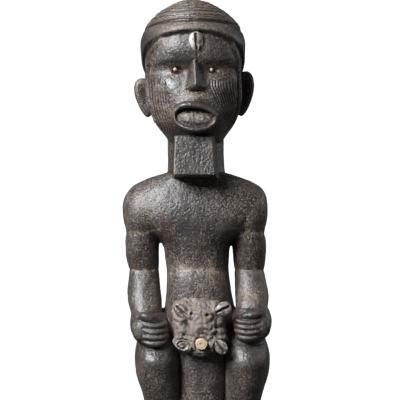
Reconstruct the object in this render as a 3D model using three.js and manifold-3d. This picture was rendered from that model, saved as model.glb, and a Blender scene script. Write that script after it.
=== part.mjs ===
// A carved wooden power figure of the Teke people: a man who stands on flexed legs with his fists on his
// thighs, in a ribbed cap and a block beard. A packet of hardened earth with four cowrie shells and a disc
// is stuck to his belly. A fifth cowrie is set in his forehead, and a small bead in each eye.
//
// Millimetres, +Z up. The figure faces -Y, so his right side is at -X. The origin is at the centre of the
// underside of the base. The wood is carved from one bowed branch, which bow() follows at the end.
import * as THREE from "three";
import { mergeVertices } from "three/addons/utils/BufferGeometryUtils.js";
import Module from "manifold-3d";

const wasm = await Module();
wasm.setup();

// Driving dimensions
const HEIGHT = 500;
const GAP = 0.3; // left round each piece that is set in the wood or in the packet
const RIGHT = -1; // his right side, where x is negative
const LEFT = 1;
const SIDES = [RIGHT, LEFT];
// The branch's sideways lean at a few heights, which carries his head over his right side.
const BOW = { heights: [0, 150, 250, 350, 450, HEIGHT], shifts: [0, 0, -5.2, -6.2, -9, -9.4] };

const BASE = { halfWidth: 61, front: 60, back: 48, height: 15, chamfer: 1.5, square: 3.2 };
const FOOT = { x: 34, halfWidth: 15, toeLine: -46, grooves: 4, groove: [1.4, 14, 14], grooveLean: 0.5 };
const CLOTH = { top: 158, bottom: 62 }; // the loincloth's flap between the legs

// His right fist hangs a little lower than his left, and its fingers are thicker.
const FISTS = {
  [RIGHT]: { z: 170, thumbZ: 183.5, thumbTilt: 0.16, fingers: 4, fingerTop: 177.5, fingerPitch: 6.1 },
  [LEFT]: { z: 174, thumbZ: 187, thumbTilt: 0.12, fingers: 4, fingerTop: 180, fingerPitch: 5 },
};
const FIST = { x: 51.5, y: -22, halfWidth: 18.5, frontY: -43 };
const FINGER = { length: 20, last: 17, fatness: 0.57, droop: 0.12, slant: 0.05, inward: 4, sunk: 2 };
const THUMB = { radii: [12, 7, 4.6], inward: 0.5, sunk: 4 };
const ARM_SHIFT = -1; // both arms are set a little to his right

const NECK = { halfWidth: 28.5, halfDepth: 28, low: 318, high: 372 };
const BEARD = { top: 363, bottom: 323.5, frontTop: -49, frontBottom: -57, backY: -16 };
const BEARD_HALF = { frontTop: 18.5, frontBottom: 20.5, backTop: 21.2, backBottom: 22.4, sideways: -2 };

const CAP = { tilt: 0.17, rimZ: 472, rimRadius: 46, ribs: 8, ribRise: 1, ribCrest: 0.55, sunk: 8 };
const CAP_PLAN = { depthRatio: 1.12, y: 3, domePowers: [1.25, 0.6] };
const HAIRLINE = { front: [-56, 468], side: [0, 437] }; // [y, z] on the cap's lower edge
const EYE = { x: 18, z: 429, beadRadius: 2.5, hollow: [6, 3.4, 3] };
const MOUTH = { z: 382.5, y: -56.5, halfWidth: 20.3, halfHeight: 12.3, lean: 0.12, hollowDepth: 16 };
const LIP = { share: 0.19, halfDepth: 6, wrap: 5.5, inset: 1.8 }; // share is the lip's half height over the mouth's
const TONGUE = { drop: 4, back: 5.5, radii: [17.3, 10, 8.3] };
const EAR = { x: 49.6, y: 5, halfThickness: 6, reach: 9.4, tilt: 0.16, taper: 0.28 };
const EAR_SCOOP = { outward: 1, forward: 7.2, up: 2.5, radii: [5.5, 4], share: 0.66 };
const EARS = { [RIGHT]: { z: 402.5, halfHeight: 20 }, [LEFT]: { z: 406.5, halfHeight: 23 } };
const TEMPLE_RIM = { halfWidth: 4, halfThickness: 2.4, proud: 0.9 };
const BROW = { halfWidth: 2.4, halfThickness: 2.2, proud: 0.9 };
// Where the face swells forward or sinks back: its place, its spread across and up, and how far it goes.
const FACE_SWELLS = [
  { x: 0, z: 386, across: 26, up: 18, rise: 8.5 }, // muzzle
  { x: 26, z: 411, across: 14, up: 13, rise: 2.4 }, // cheeks
  { x: -26, z: 411, across: 14, up: 13, rise: 2.4 },
  { x: 19, z: 428, across: 15, up: 7, rise: -2.5 }, // hollows round the eyes
  { x: -19, z: 428, across: 15, up: 7, rise: -2.5 },
];

const PACKET = { x: -2, z: 173, halfWidth: 25.5, front: -50 };
const COWRIE = { length: 18.5, width: 13.5, height: 8.5, taper: 0.14, flatness: 0.62 };
const SLIT = { length: 14.4, depth: 4.7, width: 1.3 };
// Each shell's place on the figure, and its turn: 0 lays the slit level, and a quarter turn stands it up.
const COWRIES = [
  { name: "forehead_cowrie", x: 3.4, y: -54.5, z: 456.5, turn: 1.62, size: 1.1 },
  { name: "packet_cowrie_upper_right", x: -18.5, y: -50, z: 190.5, turn: -0.8, size: 0.98 },
  { name: "packet_cowrie_upper_left", x: 22.5, y: -48, z: 192, turn: 0.45, size: 1.02 },
  { name: "packet_cowrie_lower_right", x: -19, y: -50.5, z: 156.5, turn: -0.25, size: 0.9 },
  { name: "packet_cowrie_lower_left", x: 18.5, y: -50, z: 155, turn: -0.95, size: 0.92 },
];
const DISC = { x: -0.5, y: -52, z: 158, radius: 5.9, thickness: 4.5 };

// Geometry helpers

const bowCurve = new THREE.CubicInterpolant(BOW.heights, BOW.shifts, 1, new Float32Array(1));

function bow(z) {
  return bowCurve.evaluate(THREE.MathUtils.clamp(z, 0, HEIGHT))[0];
}

// A closed geometry as a solid for joining and cutting.
function solidOf(geometry) {
  const bare = geometry.clone();
  bare.deleteAttribute("normal");
  bare.deleteAttribute("uv");
  const merged = mergeVertices(bare, 1e-3);
  return new wasm.Manifold(
    new wasm.Mesh({
      numProp: 3,
      vertProperties: new Float32Array(merged.attributes.position.array),
      triVerts: new Uint32Array(merged.index.array),
    }),
  );
}

function join(geometries) {
  return geometries.map(solidOf).reduce((whole, piece) => whole.add(piece));
}

function cut(whole, geometries) {
  return geometries.map(solidOf).reduce((rest, piece) => rest.subtract(piece), whole);
}

// A solid through level sections, from the lowest up, with one ring at each. A section is [z, x, y,
// halfWidth, front, back, square]: its height, its centre, its reach to the sides, to the front and to
// the back, and its corner exponent, where 2 is an ellipse. grow swells the whole solid.
function loft(sections, sides, grow = 0) {
  const last = sections.length - 1;
  const geometry = new THREE.CylinderGeometry(1, 1, last, sides, last).rotateX(Math.PI / 2);
  const position = geometry.attributes.position;
  for (let i = 0; i < position.count; i++) {
    const ring = Math.round(position.getZ(i) + last / 2);
    const [z, x, y, halfWidth, front, back, square] = sections[ring];
    const centre = Math.hypot(position.getX(i), position.getY(i)) < 0.5;
    const bend = (value) => (centre ? 0 : Math.sign(value) * Math.pow(Math.abs(value), 2 / square));
    const reach = (position.getY(i) < 0 ? front : back) + grow;
    const lift = ring === 0 ? -grow : ring === last ? grow : 0;
    const across = x + (halfWidth + grow) * bend(position.getX(i));
    position.setXYZ(i, across, y + reach * bend(position.getY(i)), z + lift);
  }
  return geometry;
}

// The same sections on his right or on his left.
function onSide(side, sections) {
  return sections.map(([z, x, ...rest]) => [z, side * x, ...rest]);
}

function turned(geometry, turn) {
  return geometry.applyMatrix4(new THREE.Matrix4().makeRotationFromEuler(new THREE.Euler(...turn)));
}

function ellipsoid(centre, radii, { turn = [0, 0, 0], sides = 12, rings = 7 } = {}) {
  const ball = new THREE.SphereGeometry(1, sides, rings).rotateX(Math.PI / 2).scale(...radii);
  return turned(ball, turn).translate(...centre);
}

function box(centre, size, turn = [0, 0, 0]) {
  return turned(new THREE.BoxGeometry(...size), turn).translate(...centre);
}

// A rounded bar along a curve, swept from an oval section.
function bar(points, { halfWidth, halfThickness }, steps) {
  const oval = new THREE.Shape();
  oval.absellipse(0, 0, halfThickness, halfWidth, 0, 2 * Math.PI);
  const path = new THREE.CatmullRomCurve3(points.map((point) => new THREE.Vector3(...point)));
  return new THREE.ExtrudeGeometry(oval, { steps, extrudePath: path, curveSegments: 3, bevelEnabled: false });
}

// The carved wood, from the base up

function base() {
  const { halfWidth, front, back, height, chamfer, square } = BASE;
  const outline = (z, inset) => [z, 0, 0, halfWidth - inset, front - inset, back - inset, square];
  return loft([outline(0, 0), outline(height - chamfer, 1), outline(height, 1 + chamfer)], 24);
}

// A leg from the sole to the hip: a block foot, a full calf, and a thigh that swells under the fist.
function leg(side, grow = 0) {
  const sections = [
    [BASE.height - 4, 34, -8, 16.5, 40, 27, 3],
    [24, 34, -8, 16, 37, 26, 2.6],
    [31, 34, -6, 14.5, 23, 23, 2.3],
    [41, 34.5, 0, 13, 14, 15, 2.1],
    [56, 36, 1, 16.5, 14, 21, 2.1],
    [72, 37, 0, 18, 17, 22, 2.1],
    [86, 37.5, -5, 17.8, 22, 16, 2.2],
    [98, 39, -7, 18.5, 24, 18, 2.2],
    [112, 41.3, -8, 20, 29, 27, 2.3],
    [126, 43.8, -8, 22, 34, 34, 2.3],
    [139, 44.8, -8, 22.5, 38, 38, 2.3],
    [150, 44.5, -7, 22.3, 34, 41, 2.3],
    [164, 41, -4, 22, 24, 41, 2.2],
    [180, 36, 0, 19, 16, 33, 2.2],
    [192, 30, 2, 9, 8, 15, 2],
  ];
  return loft(onSide(side, sections), 12, grow);
}

function toeGrooves(side) {
  const { halfWidth, toeLine, grooves, groove, grooveLean } = FOOT;
  return Array.from({ length: grooves }, (_, i) => {
    const across = ((i + 1) / (grooves + 1)) * 2 - 1;
    const x = side * FOOT.x + across * halfWidth;
    return box([x, toeLine, BASE.height + groove[2] / 2], groove, [grooveLean, 0, 0]);
  });
}

// The loincloth hangs between the thighs as one block with them.
function loincloth(grow = 0) {
  const { top, bottom } = CLOTH;
  const sections = [
    [bottom, 0, -8, 19, 21, 12, 3],
    [bottom + 4, 0, -8, 21, 24, 15, 3],
    [bottom + 44, 0, -8, 22, 26, 19, 2.8],
    [top, 0, -8, 23, 27, 24, 2.8],
  ];
  return loft(sections, 16, grow);
}

// The trunk from the crotch to the foot of the neck: hips, a squared belly with a slight step at the
// waist, and a chest that widens into the shoulders.
function trunk(grow = 0) {
  const sections = [
    [142, 0, 2, 28, 30, 34, 2.4],
    [158, 0, 2, 38, 35, 38, 2.4],
    [176, 0, 1, 38.5, 36, 38, 2.5],
    [192, 0, 0, 35, 36.5, 34, 2.7],
    [208, 0, 0, 32.6, 36.3, 29.5, 2.8],
    [229, 0, 0, 31, 33.5, 26.5, 2.7],
    [232, 0, 0, 31, 31.8, 26.5, 2.6],
    [244, 0, 0, 32, 32.5, 28, 2.5],
    [256, 0, 0, 34.5, 34.5, 30, 2.4],
    [264, 0, 0, 43, 36, 31, 2.35],
    [273, 0, 0, 56, 37, 32, 2.4],
    [284, 0, 0, 67, 37, 32.5, 2.45],
    [297, 0, 0, 71, 35, 32, 2.4],
    [308, 0, 0, 68.5, 32, 30, 2.3],
    [315, 0, 0, 62, 30, 28.5, 2.15],
    [321, 0, 0, 49.5, 28.8, 28, 2.1],
    [327, 0, 0, 31, 28, 28, 2],
  ];
  return loft(sections, 24, grow);
}

// An arm from the round shoulder to the wrist, with a crease under the shoulder and one at the elbow,
// where the forearm turns forward.
function arm(side) {
  const rise = FISTS[side].z - FISTS[RIGHT].z;
  const sections = [
    [185 + rise, 52, -18, 15, 16, 17, 2.3],
    [192 + rise, 53, -14.5, 16.2, 17.5, 17, 2.3],
    [206, 53.6, -6.5, 16.8, 19, 17.5, 2.3],
    [221, 53, 0.5, 15.6, 18.8, 18.4, 2.2],
    [230, 52.6, 3, 15, 17, 18.5, 2.2],
    [240, 53.2, 2.5, 16.2, 18.5, 18.5, 2.2],
    [253, 53.5, 1, 17, 20, 19, 2.2],
    [264, 52.6, 0, 17.2, 21.5, 20.5, 2.2],
    [270, 51.6, 0, 17.6, 23, 22, 2.2],
    [277, 52, 0, 19.4, 26.5, 25, 2.2],
    [288, 52, 0, 20.6, 27.5, 27, 2.2],
    [299, 52, 0, 19.8, 25, 26, 2.15],
    [308, 51, 0, 16, 20, 20, 2.1],
    [314, 49, 0, 8, 10, 10, 2],
  ];
  return loft(onSide(side, sections), 12).translate(ARM_SHIFT, 0, 0);
}

// A fist: a block with four fingers bent round its front, and the thumb laid over them.
function fist(side) {
  const { z, thumbZ, thumbTilt, fingers, fingerTop, fingerPitch } = FISTS[side];
  const { x, y, halfWidth, frontY } = FIST;
  const block = onSide(side, [
    [z - 15, x - 2, y + 1, halfWidth - 7, 13, 19, 2.4],
    [z - 9, x - 1, y, halfWidth - 3, 17, 23, 2.5],
    [z, x, y, halfWidth, 19, 25, 2.6],
    [z + 10, x, y, halfWidth, 19, 23, 2.6],
    [z + 18, x + 0.5, y + 4, halfWidth - 2, 18, 22, 2.5],
  ]);
  const bent = Array.from({ length: fingers }, (_, i) => {
    const length = i === fingers - 1 ? FINGER.last : FINGER.length;
    return new THREE.CapsuleGeometry(fingerPitch * FINGER.fatness, length, 2, 6)
      .rotateZ(Math.PI / 2 - side * FINGER.slant)
      .rotateY(side * FINGER.droop)
      .translate(side * (x - FINGER.inward), frontY + FINGER.sunk, fingerTop - i * fingerPitch);
  });
  const thumbPlace = [side * (x - THUMB.inward), frontY + THUMB.sunk, thumbZ];
  const thumb = ellipsoid(thumbPlace, THUMB.radii, { turn: [0, -side * thumbTilt, 0] });
  return [loft(block, 12), ...bent, thumb];
}

function neck() {
  const { halfWidth, halfDepth, low, high } = NECK;
  const middle = (low + high) / 2 - 12;
  return loft(
    [
      [low, 0, 0, halfWidth + 1.5, halfDepth + 1, halfDepth + 1, 2],
      [middle, 0, 0, halfWidth, halfDepth, halfDepth, 2],
      [high, 0, 0, halfWidth - 0.5, halfDepth, halfDepth, 2],
    ],
    14,
  );
}

// The beard is a slab that widens and leans forward as it goes down, set a little to his right.
function beard() {
  const { top, bottom, frontTop, frontBottom, backY } = BEARD;
  const half = BEARD_HALF;
  const slab = new THREE.BoxGeometry(2, 1, 1);
  const position = slab.attributes.position;
  for (let i = 0; i < position.count; i++) {
    const low = position.getZ(i) < 0;
    const front = position.getY(i) < 0;
    const frontHalf = low ? half.frontBottom : half.frontTop;
    const backHalf = low ? half.backBottom : half.backTop;
    const x = position.getX(i) * (front ? frontHalf : backHalf) + (front ? half.sideways : 0);
    const frontY = low ? frontBottom : frontTop;
    position.setXYZ(i, x, front ? frontY : backY, low ? bottom : top);
  }
  return slab;
}

// The head without its features: a full jaw, a step back at the eyes, and a forehead that overhangs them.
const HEAD_SECTIONS = [
  [358, 0, -2, 26, 34, 28, 2.1],
  [366, 0, -2, 32, 44, 34, 2.2],
  [373, 0, -2, 37.5, 47, 40, 2.3],
  [381, 0, -2, 42, 49, 44, 2.4],
  [389, 0, -2, 44.7, 49.5, 47.5, 2.5],
  [397, 0, -2, 46.2, 49.5, 49.5, 2.5],
  [409, 0, -2, 47, 49.3, 51.5, 2.6],
  [420, 0, -2, 47.5, 48.3, 53, 2.6],
  [432, 0, -2, 47.8, 47, 54, 2.6],
  [436, 0, -2, 48, 49.5, 54, 2.6],
  [440, 0, -2, 48, 52, 54, 2.5],
  [454, 0, -2, 47, 52.5, 54, 2.4],
  [468, 0, -1, 43, 48, 50, 2.3],
  [482, 0, 0, 32, 36, 40, 2.2],
];

// How far the face stands forward of the plain head at a place seen from the front.
function faceSwell(x, z) {
  const spread = (swell) => ((x - swell.x) / swell.across) ** 2 + ((z - swell.z) / swell.up) ** 2;
  return FACE_SWELLS.reduce((sum, swell) => sum + swell.rise * Math.exp(-spread(swell)), 0);
}

function head() {
  const geometry = loft(HEAD_SECTIONS, 24);
  const position = geometry.attributes.position;
  for (let i = 0; i < position.count; i++) {
    const [x, y, z] = [position.getX(i), position.getY(i), position.getZ(i)];
    const facing = THREE.MathUtils.smoothstep(-y, 12, 30);
    position.setY(i, y - facing * faceSwell(x, z));
  }
  return geometry;
}

// The y of the face's surface at a place seen from the front, moved forward by proud.
function onFace(x, z, proud) {
  const above = Math.max(1, HEAD_SECTIONS.findIndex((section) => section[0] > z));
  const [low, high] = [HEAD_SECTIONS[above - 1], HEAD_SECTIONS[above]];
  const part = (z - low[0]) / (high[0] - low[0]);
  const section = low.map((value, i) => THREE.MathUtils.lerp(value, high[i], part));
  const [, , y, halfWidth, front, , square] = section;
  const across = Math.min(1, Math.abs(x) / halfWidth);
  return y - front * Math.pow(1 - Math.pow(across, square), 1 / square) - faceSwell(x, z) - proud;
}

function nose() {
  return loft(
    [
      [407.5, 1.5, -44, 10, 10, 4, 2],
      [409.5, 1.5, -44, 12.6, 16, 4, 1.9],
      [413, 1.5, -44, 11.5, 20.5, 4, 1.6],
      [422, 1.5, -43, 7, 17, 4, 1.5],
      [432, 1, -43, 5, 12.5, 4, 1.5],
      [444, 0, -43, 4, 9.5, 4, 1.6],
    ],
    8,
  );
}

// A course of [x, z] points laid on one side of the face for a bar that stands proud of it, except at
// the two ends, where it sinks in.
function laidOnFace(course, side, { halfThickness, proud }) {
  return course.map(([x, z], i) => {
    const end = i === 0 || i === course.length - 1;
    return [side * x, onFace(x, z, (end ? -1 : proud) - halfThickness), z];
  });
}

// A brow arches over each eye.
function brow(side) {
  return bar(laidOnFace([[4, 437.5], [17, 440.5], [30, 439], [41, 431]], side, BROW), BROW, 5);
}

// The lips ring the open mouth and wrap round the muzzle. The mouth is hollow over a low tongue.
function lips() {
  const { z, y, halfWidth, halfHeight, lean } = MOUTH;
  const ring = new THREE.TorusGeometry(1, LIP.share, 6, 16);
  const position = ring.attributes.position;
  for (let i = 0; i < position.count; i++) {
    const across = position.getX(i);
    position.setZ(i, (LIP.halfDepth / LIP.share) * position.getZ(i) - LIP.wrap * across ** 2);
  }
  return ring.scale(halfWidth, halfHeight, 1).rotateX(Math.PI / 2 + lean).translate(0, y, z);
}

function mouthHollow() {
  const { z, y, halfWidth, halfHeight, hollowDepth } = MOUTH;
  const radii = [halfWidth - LIP.inset, hollowDepth, halfHeight - LIP.inset];
  return ellipsoid([0, y, z], radii, { sides: 12, rings: 6 });
}

function tongue() {
  return ellipsoid([0, MOUTH.y + TONGUE.back, MOUTH.z - TONGUE.drop], TONGUE.radii, { sides: 12, rings: 6 });
}

// A rim bounds the face on each side, from under the cap down in front of the ear to the jaw.
function templeRim(side) {
  const course = [[33, 466], [39, 453], [43.5, 438], [44.5, 418], [43.5, 398], [37, 377]];
  return bar(laidOnFace(course, side, TEMPLE_RIM), TEMPLE_RIM, 8);
}

function beadPlace(side) {
  return [side * EYE.x, onFace(EYE.x, EYE.z, 0.2), EYE.z];
}

function eyeHollow(side) {
  const [x, y, z] = beadPlace(side);
  return ellipsoid([x + 2, y - 1, z - 0.5], EYE.hollow, { sides: 8, rings: 5 });
}

// An ear stands out as a flat lobe, broad above and narrow below, with its front scooped.
function ear(side) {
  const { x, y, halfThickness, reach, tilt, taper } = EAR;
  const { z, halfHeight } = EARS[side];
  const lobe = new THREE.SphereGeometry(1, 12, 6).rotateX(Math.PI / 2);
  const position = lobe.attributes.position;
  for (let i = 0; i < position.count; i++) {
    const narrow = 1 + taper * position.getZ(i);
    position.setXYZ(i, position.getX(i) * narrow, position.getY(i), position.getZ(i));
  }
  return turned(lobe.scale(reach, halfThickness, halfHeight), [0, side * tilt, 0]).translate(side * x, y, z);
}

function earScoop(side) {
  const { outward, forward, up, radii, share } = EAR_SCOOP;
  const { z, halfHeight } = EARS[side];
  const centre = [side * (EAR.x + outward), EAR.y - forward, z + up];
  const turn = [0, side * EAR.tilt, 0];
  return ellipsoid(centre, [...radii, share * halfHeight], { turn, sides: 8, rings: 5 });
}

// The smooth lower cap follows the skull, and is cut off along the sloping hairline.
function lowerCap() {
  return loft(
    [
      [390, 0, 2, 38, 44, 40, 2.1],
      [406, 0, 2, 46, 51, 51, 2.3],
      [428, 0, 1, 50.5, 55, 57, 2.4],
      [446, 0, 1, 52, 56.5, 58.5, 2.4],
      [458, 0, 1, 52.3, 57.5, 58.5, 2.35],
      [466, 0, 1, 50, 58, 56, 2.25],
      [472, 0, 1, 46.4, 56, 51, 2.15],
      [478, 0, 1, 38, 51, 44, 2.1],
      [482, 0, 1, 30, 44, 36, 2],
    ],
    20,
  );
}

function belowHairline() {
  const [frontY, frontZ] = HAIRLINE.front;
  const [sideY, sideZ] = HAIRLINE.side;
  const slope = Math.atan2(sideZ - frontZ, sideY - frontY);
  const size = 200;
  return new THREE.BoxGeometry(size, 2 * size, size)
    .translate(0, 0, -size / 2)
    .rotateX(slope)
    .translate(0, sideY, sideZ);
}

// The crown is a dome of ribs, one ring above the next, tilted back as a whole.
function crown() {
  const { tilt, rimZ, rimRadius, ribs, ribRise, ribCrest, sunk } = CAP;
  const { depthRatio, y, domePowers } = CAP_PLAN;
  const rise = HEIGHT - rimZ;
  const domeRadius = (height) => rimRadius * Math.pow(1 - Math.pow(height, domePowers[0]), domePowers[1]);
  const outline = [new THREE.Vector2(0, -sunk), new THREE.Vector2(rimRadius - 2 * ribRise, -sunk)];
  for (let i = 0; i < ribs; i++) {
    const groove = i / ribs;
    const crest = (i + ribCrest) / ribs;
    outline.push(new THREE.Vector2(domeRadius(groove), groove * rise));
    outline.push(new THREE.Vector2(domeRadius(crest) + ribRise, crest * rise));
  }
  outline.push(new THREE.Vector2(0, rise));
  return new THREE.LatheGeometry(outline, 20)
    .rotateX(Math.PI / 2)
    .scale(1, depthRatio, 1)
    .rotateX(-tilt)
    .translate(0, y, rimZ);
}

// The shells, disc and beads

// A cowrie seen from its toothed side: an egg with a flattened face and a slit along it.
function cowrie({ x, y, z, turn, size }, grow = 0) {
  const { length, width, height, taper, flatness } = COWRIE;
  const shell = new THREE.SphereGeometry(1, 8, 6).rotateZ(Math.PI / 2);
  const position = shell.attributes.position;
  for (let i = 0; i < position.count; i++) {
    const along = position.getX(i);
    const fat = 1 + taper * along;
    const deep = position.getY(i);
    position.setXYZ(i, along, deep < 0 ? flatness * deep : deep, position.getZ(i) * fat);
  }
  return shell
    .scale((size * length) / 2 + grow, (size * height) / (1 + flatness) + grow, (size * width) / 2 + grow)
    .rotateY(-turn)
    .translate(x, y, z);
}

function cowrieSlit({ x, y, z, turn, size }) {
  return box([0, -COWRIE.height / 2, 0], [SLIT.length, SLIT.depth, SLIT.width])
    .scale(size, size, size)
    .rotateY(-turn)
    .translate(x, y, z);
}

function disc(grow = 0) {
  return new THREE.CylinderGeometry(DISC.radius + grow, DISC.radius + grow, DISC.thickness + 2 * grow, 16)
    .translate(DISC.x, DISC.y, DISC.z);
}

function bead(side, grow = 0) {
  const radius = EYE.beadRadius + grow;
  return ellipsoid(beadPlace(side), [radius, radius, radius], { sides: 8, rings: 5 });
}

// The packet is a pad of hardened earth that hugs the belly and hangs over the top of the loincloth.
function packet() {
  const { x, z, halfWidth, front } = PACKET;
  const reach = -front - 20;
  return loft(
    [
      [z - 28, x, -20, halfWidth - 8, reach - 8, 4, 3],
      [z - 25, x, -20, halfWidth - 1.5, reach - 3, 4, 3.4],
      [z - 12, x, -20, halfWidth, reach - 0.5, 4, 3.8],
      [z + 4, x, -20, halfWidth - 0.5, reach + 0.5, 4, 3.8],
      [z + 20, x, -20, halfWidth, reach - 1, 4, 3.4],
      [z + 26, x, -20, halfWidth - 2, reach - 5, 4, 3],
      [z + 29, x, -20, halfWidth - 8, reach - 10, 4, 2.6],
    ],
    16,
  );
}

// Putting the pieces together

const foreheadShell = COWRIES[0];
const packetShells = COWRIES.slice(1);

function figureSolid() {
  const wood = join([
    base(),
    ...SIDES.map((side) => leg(side)),
    loincloth(),
    trunk(),
    ...SIDES.map(arm),
    ...SIDES.flatMap(fist),
    neck(),
    beard(),
    head(),
    lips(),
    nose(),
    ...SIDES.map(brow),
    ...SIDES.map(templeRim),
    ...SIDES.map(ear),
  ]);
  const cap = cut(solidOf(lowerCap()), [belowHairline()]).add(solidOf(crown()));
  const hollowed = cut(wood.add(cap), [mouthHollow(), ...SIDES.map(eyeHollow), ...SIDES.map(earScoop)]);
  return cut(hollowed.add(solidOf(tongue())), [
    ...SIDES.map((side) => bead(side, GAP)),
    ...SIDES.flatMap(toeGrooves),
    cowrie(foreheadShell, GAP),
  ]);
}

function packetSolid() {
  return cut(solidOf(packet()), [
    trunk(GAP),
    loincloth(GAP),
    ...SIDES.map((side) => leg(side, GAP)),
    ...packetShells.map((shell) => cowrie(shell, GAP)),
    disc(GAP),
  ]);
}

const WOOD = new THREE.MeshStandardMaterial({ color: 0x2e2823, roughness: 0.5, metalness: 0 });
const EARTH = new THREE.MeshStandardMaterial({ color: 0x5b5042, roughness: 0.9, metalness: 0 });
const SHELL = new THREE.MeshStandardMaterial({ color: 0xb9b3a6, roughness: 0.35, metalness: 0 });
const BONE = new THREE.MeshStandardMaterial({ color: 0xcdbf9c, roughness: 0.5, metalness: 0 });

// A solid as a named mesh, moved sideways by the branch's bow.
function meshOf(name, solid, material) {
  const { vertProperties, triVerts, numProp } = solid.getMesh();
  const positions = new Float32Array((vertProperties.length / numProp) * 3);
  for (let i = 0; i < positions.length / 3; i++) {
    const [x, y, z] = vertProperties.subarray(i * numProp, i * numProp + 3);
    positions.set([x + bow(z), y, z], i * 3);
  }
  const geometry = new THREE.BufferGeometry();
  geometry.setAttribute("position", new THREE.BufferAttribute(positions, 3));
  geometry.setIndex(new THREE.BufferAttribute(triVerts, 1));
  geometry.computeVertexNormals();
  const mesh = new THREE.Mesh(geometry, material);
  mesh.name = name;
  return mesh;
}

const figure = new THREE.Group();
figure.name = "teke_figure";
figure.add(meshOf("carved_figure", figureSolid(), WOOD));
figure.add(meshOf("belly_packet", packetSolid(), EARTH));
for (const shell of COWRIES) {
  figure.add(meshOf(shell.name, cut(solidOf(cowrie(shell)), [cowrieSlit(shell)]), SHELL));
}
figure.add(meshOf("packet_disc", solidOf(disc()), BONE));
figure.add(meshOf("eye_bead_right", solidOf(bead(RIGHT)), BONE));
figure.add(meshOf("eye_bead_left", solidOf(bead(LEFT)), BONE));

export default figure;
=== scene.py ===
"""Gives a carved Teke power figure its surface: the fused and weathered wood, the crusted belly packet,
the cowries, the shell disc and the eye pegs, with a plain studio round them.

Forms are worked in millimetres in the figure's straight frame, +Z up with the face towards -Y. The bow of
the branch is put in at the end, and every finished mesh is stored in metres.
"""

import itertools
import logging
import math
from collections.abc import Sequence
from dataclasses import dataclass, field
from enum import Enum

import bpy
import numpy as np
from mathutils import Euler, Matrix, Vector


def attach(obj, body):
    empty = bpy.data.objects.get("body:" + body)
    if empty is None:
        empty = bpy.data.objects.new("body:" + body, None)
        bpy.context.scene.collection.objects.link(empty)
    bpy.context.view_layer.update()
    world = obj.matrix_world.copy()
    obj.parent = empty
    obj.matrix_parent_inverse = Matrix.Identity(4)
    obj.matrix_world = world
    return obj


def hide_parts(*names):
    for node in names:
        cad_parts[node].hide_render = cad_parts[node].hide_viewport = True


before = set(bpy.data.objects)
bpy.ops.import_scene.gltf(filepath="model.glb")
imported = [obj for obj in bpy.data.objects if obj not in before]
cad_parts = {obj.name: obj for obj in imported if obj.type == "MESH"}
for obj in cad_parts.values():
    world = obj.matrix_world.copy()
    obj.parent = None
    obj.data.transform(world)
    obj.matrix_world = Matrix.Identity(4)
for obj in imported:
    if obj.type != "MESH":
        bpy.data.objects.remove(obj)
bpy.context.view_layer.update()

log = logging.getLogger("teke_figure")

Array = np.ndarray
Section = tuple[float, ...]
Spot = tuple[float, float, float]

MM = 0.001
HEIGHT = 500.0
VOXEL = 0.8
FIGURE_FACES = 192_000

BOW_HEIGHTS = np.array([0, 150, 250, 350, 450, HEIGHT])
BOW_SHIFTS = np.array([0, 0, -5.2, -6.2, -9, -9.4])


class Side(Enum):
    """His right side is at -X and his left at +X."""

    RIGHT = -1
    LEFT = 1


# Curves and fields


def hermite(knots: Array, values: Array, at: Array) -> Array:
    """A smooth curve through rows of values, with the mean of the slopes on each side of a knot.

    Args:
        knots: the rising places of the rows.
        values: one row for each knot.
        at: where the curve is wanted.

    Returns:
        One row for each place in at.
    """
    slopes = np.diff(values, axis=0) / np.diff(knots)[:, None]
    tangents = np.vstack([slopes[:1], (slopes[:-1] + slopes[1:]) / 2, slopes[-1:]])
    seat = np.clip(np.searchsorted(knots, at, side="right") - 1, 0, len(knots) - 2)
    span = np.diff(knots)[seat][:, None]
    part = (at - knots[seat])[:, None] / span
    rise = 3 * part**2 - 2 * part**3
    return (
        (1 - rise) * values[seat]
        + rise * values[seat + 1]
        + (part**3 - 2 * part**2 + part) * span * tangents[seat]
        + (part**3 - part**2) * span * tangents[seat + 1]
    )


def bow(height: Array) -> Array:
    """The branch's sideways lean at each height."""
    return hermite(BOW_HEIGHTS, BOW_SHIFTS[:, None], np.clip(height, 0, HEIGHT))[:, 0]


def along(knots: Sequence[tuple[float, float]], at: Array) -> Array:
    """A smooth curve through a few (place, value) pairs."""
    table = np.array(knots, float)
    return hermite(table[:, 0], table[:, 1:], np.clip(at, table[0, 0], table[-1, 0]))[:, 0]


def ease(low: float, high: float, value: Array) -> Array:
    """0 below low and 1 above high, with a smooth step between them."""
    part = np.clip((value - low) / (high - low), 0, 1)
    return part * part * (3 - 2 * part)


def hump(distance: Array, width: float) -> Array:
    """1 where distance is 0, falling off to nothing over about twice width."""
    return np.exp(-((distance / width) ** 2))


def value_noise(points: Array, size: float, seed: int) -> Array:
    """Smooth noise from -1 to 1.

    Args:
        points: where the noise is wanted.
        size: how far apart its bumps are.
        seed: which noise it is.

    Returns:
        One value for each point.
    """
    table = np.random.default_rng(seed).uniform(-1, 1, 4096)
    cell = np.floor(points / size).astype(np.int64)
    part = points / size - cell
    fade = part * part * (3 - 2 * part)
    total = np.zeros(len(points))
    for corner in itertools.product((0, 1), repeat=3):
        key = (cell + corner) @ np.array([73856093, 19349663, 83492791])
        weight = np.prod(np.where(np.array(corner) == 1, fade, 1 - fade), axis=1)
        total += weight * table[key & 4095]
    return total


# Meshes


def leave_selection() -> None:
    """Deselects everything, because operators act on all that is selected."""
    if bpy.context.object and bpy.context.object.mode != "OBJECT":
        bpy.ops.object.mode_set(mode="OBJECT")
    bpy.ops.object.select_all(action="DESELECT")


def take(piece: bpy.types.Object) -> bpy.types.Object:
    """Selects one piece alone and makes it active."""
    leave_selection()
    piece.select_set(True)
    bpy.context.view_layer.objects.active = piece
    return piece


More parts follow.
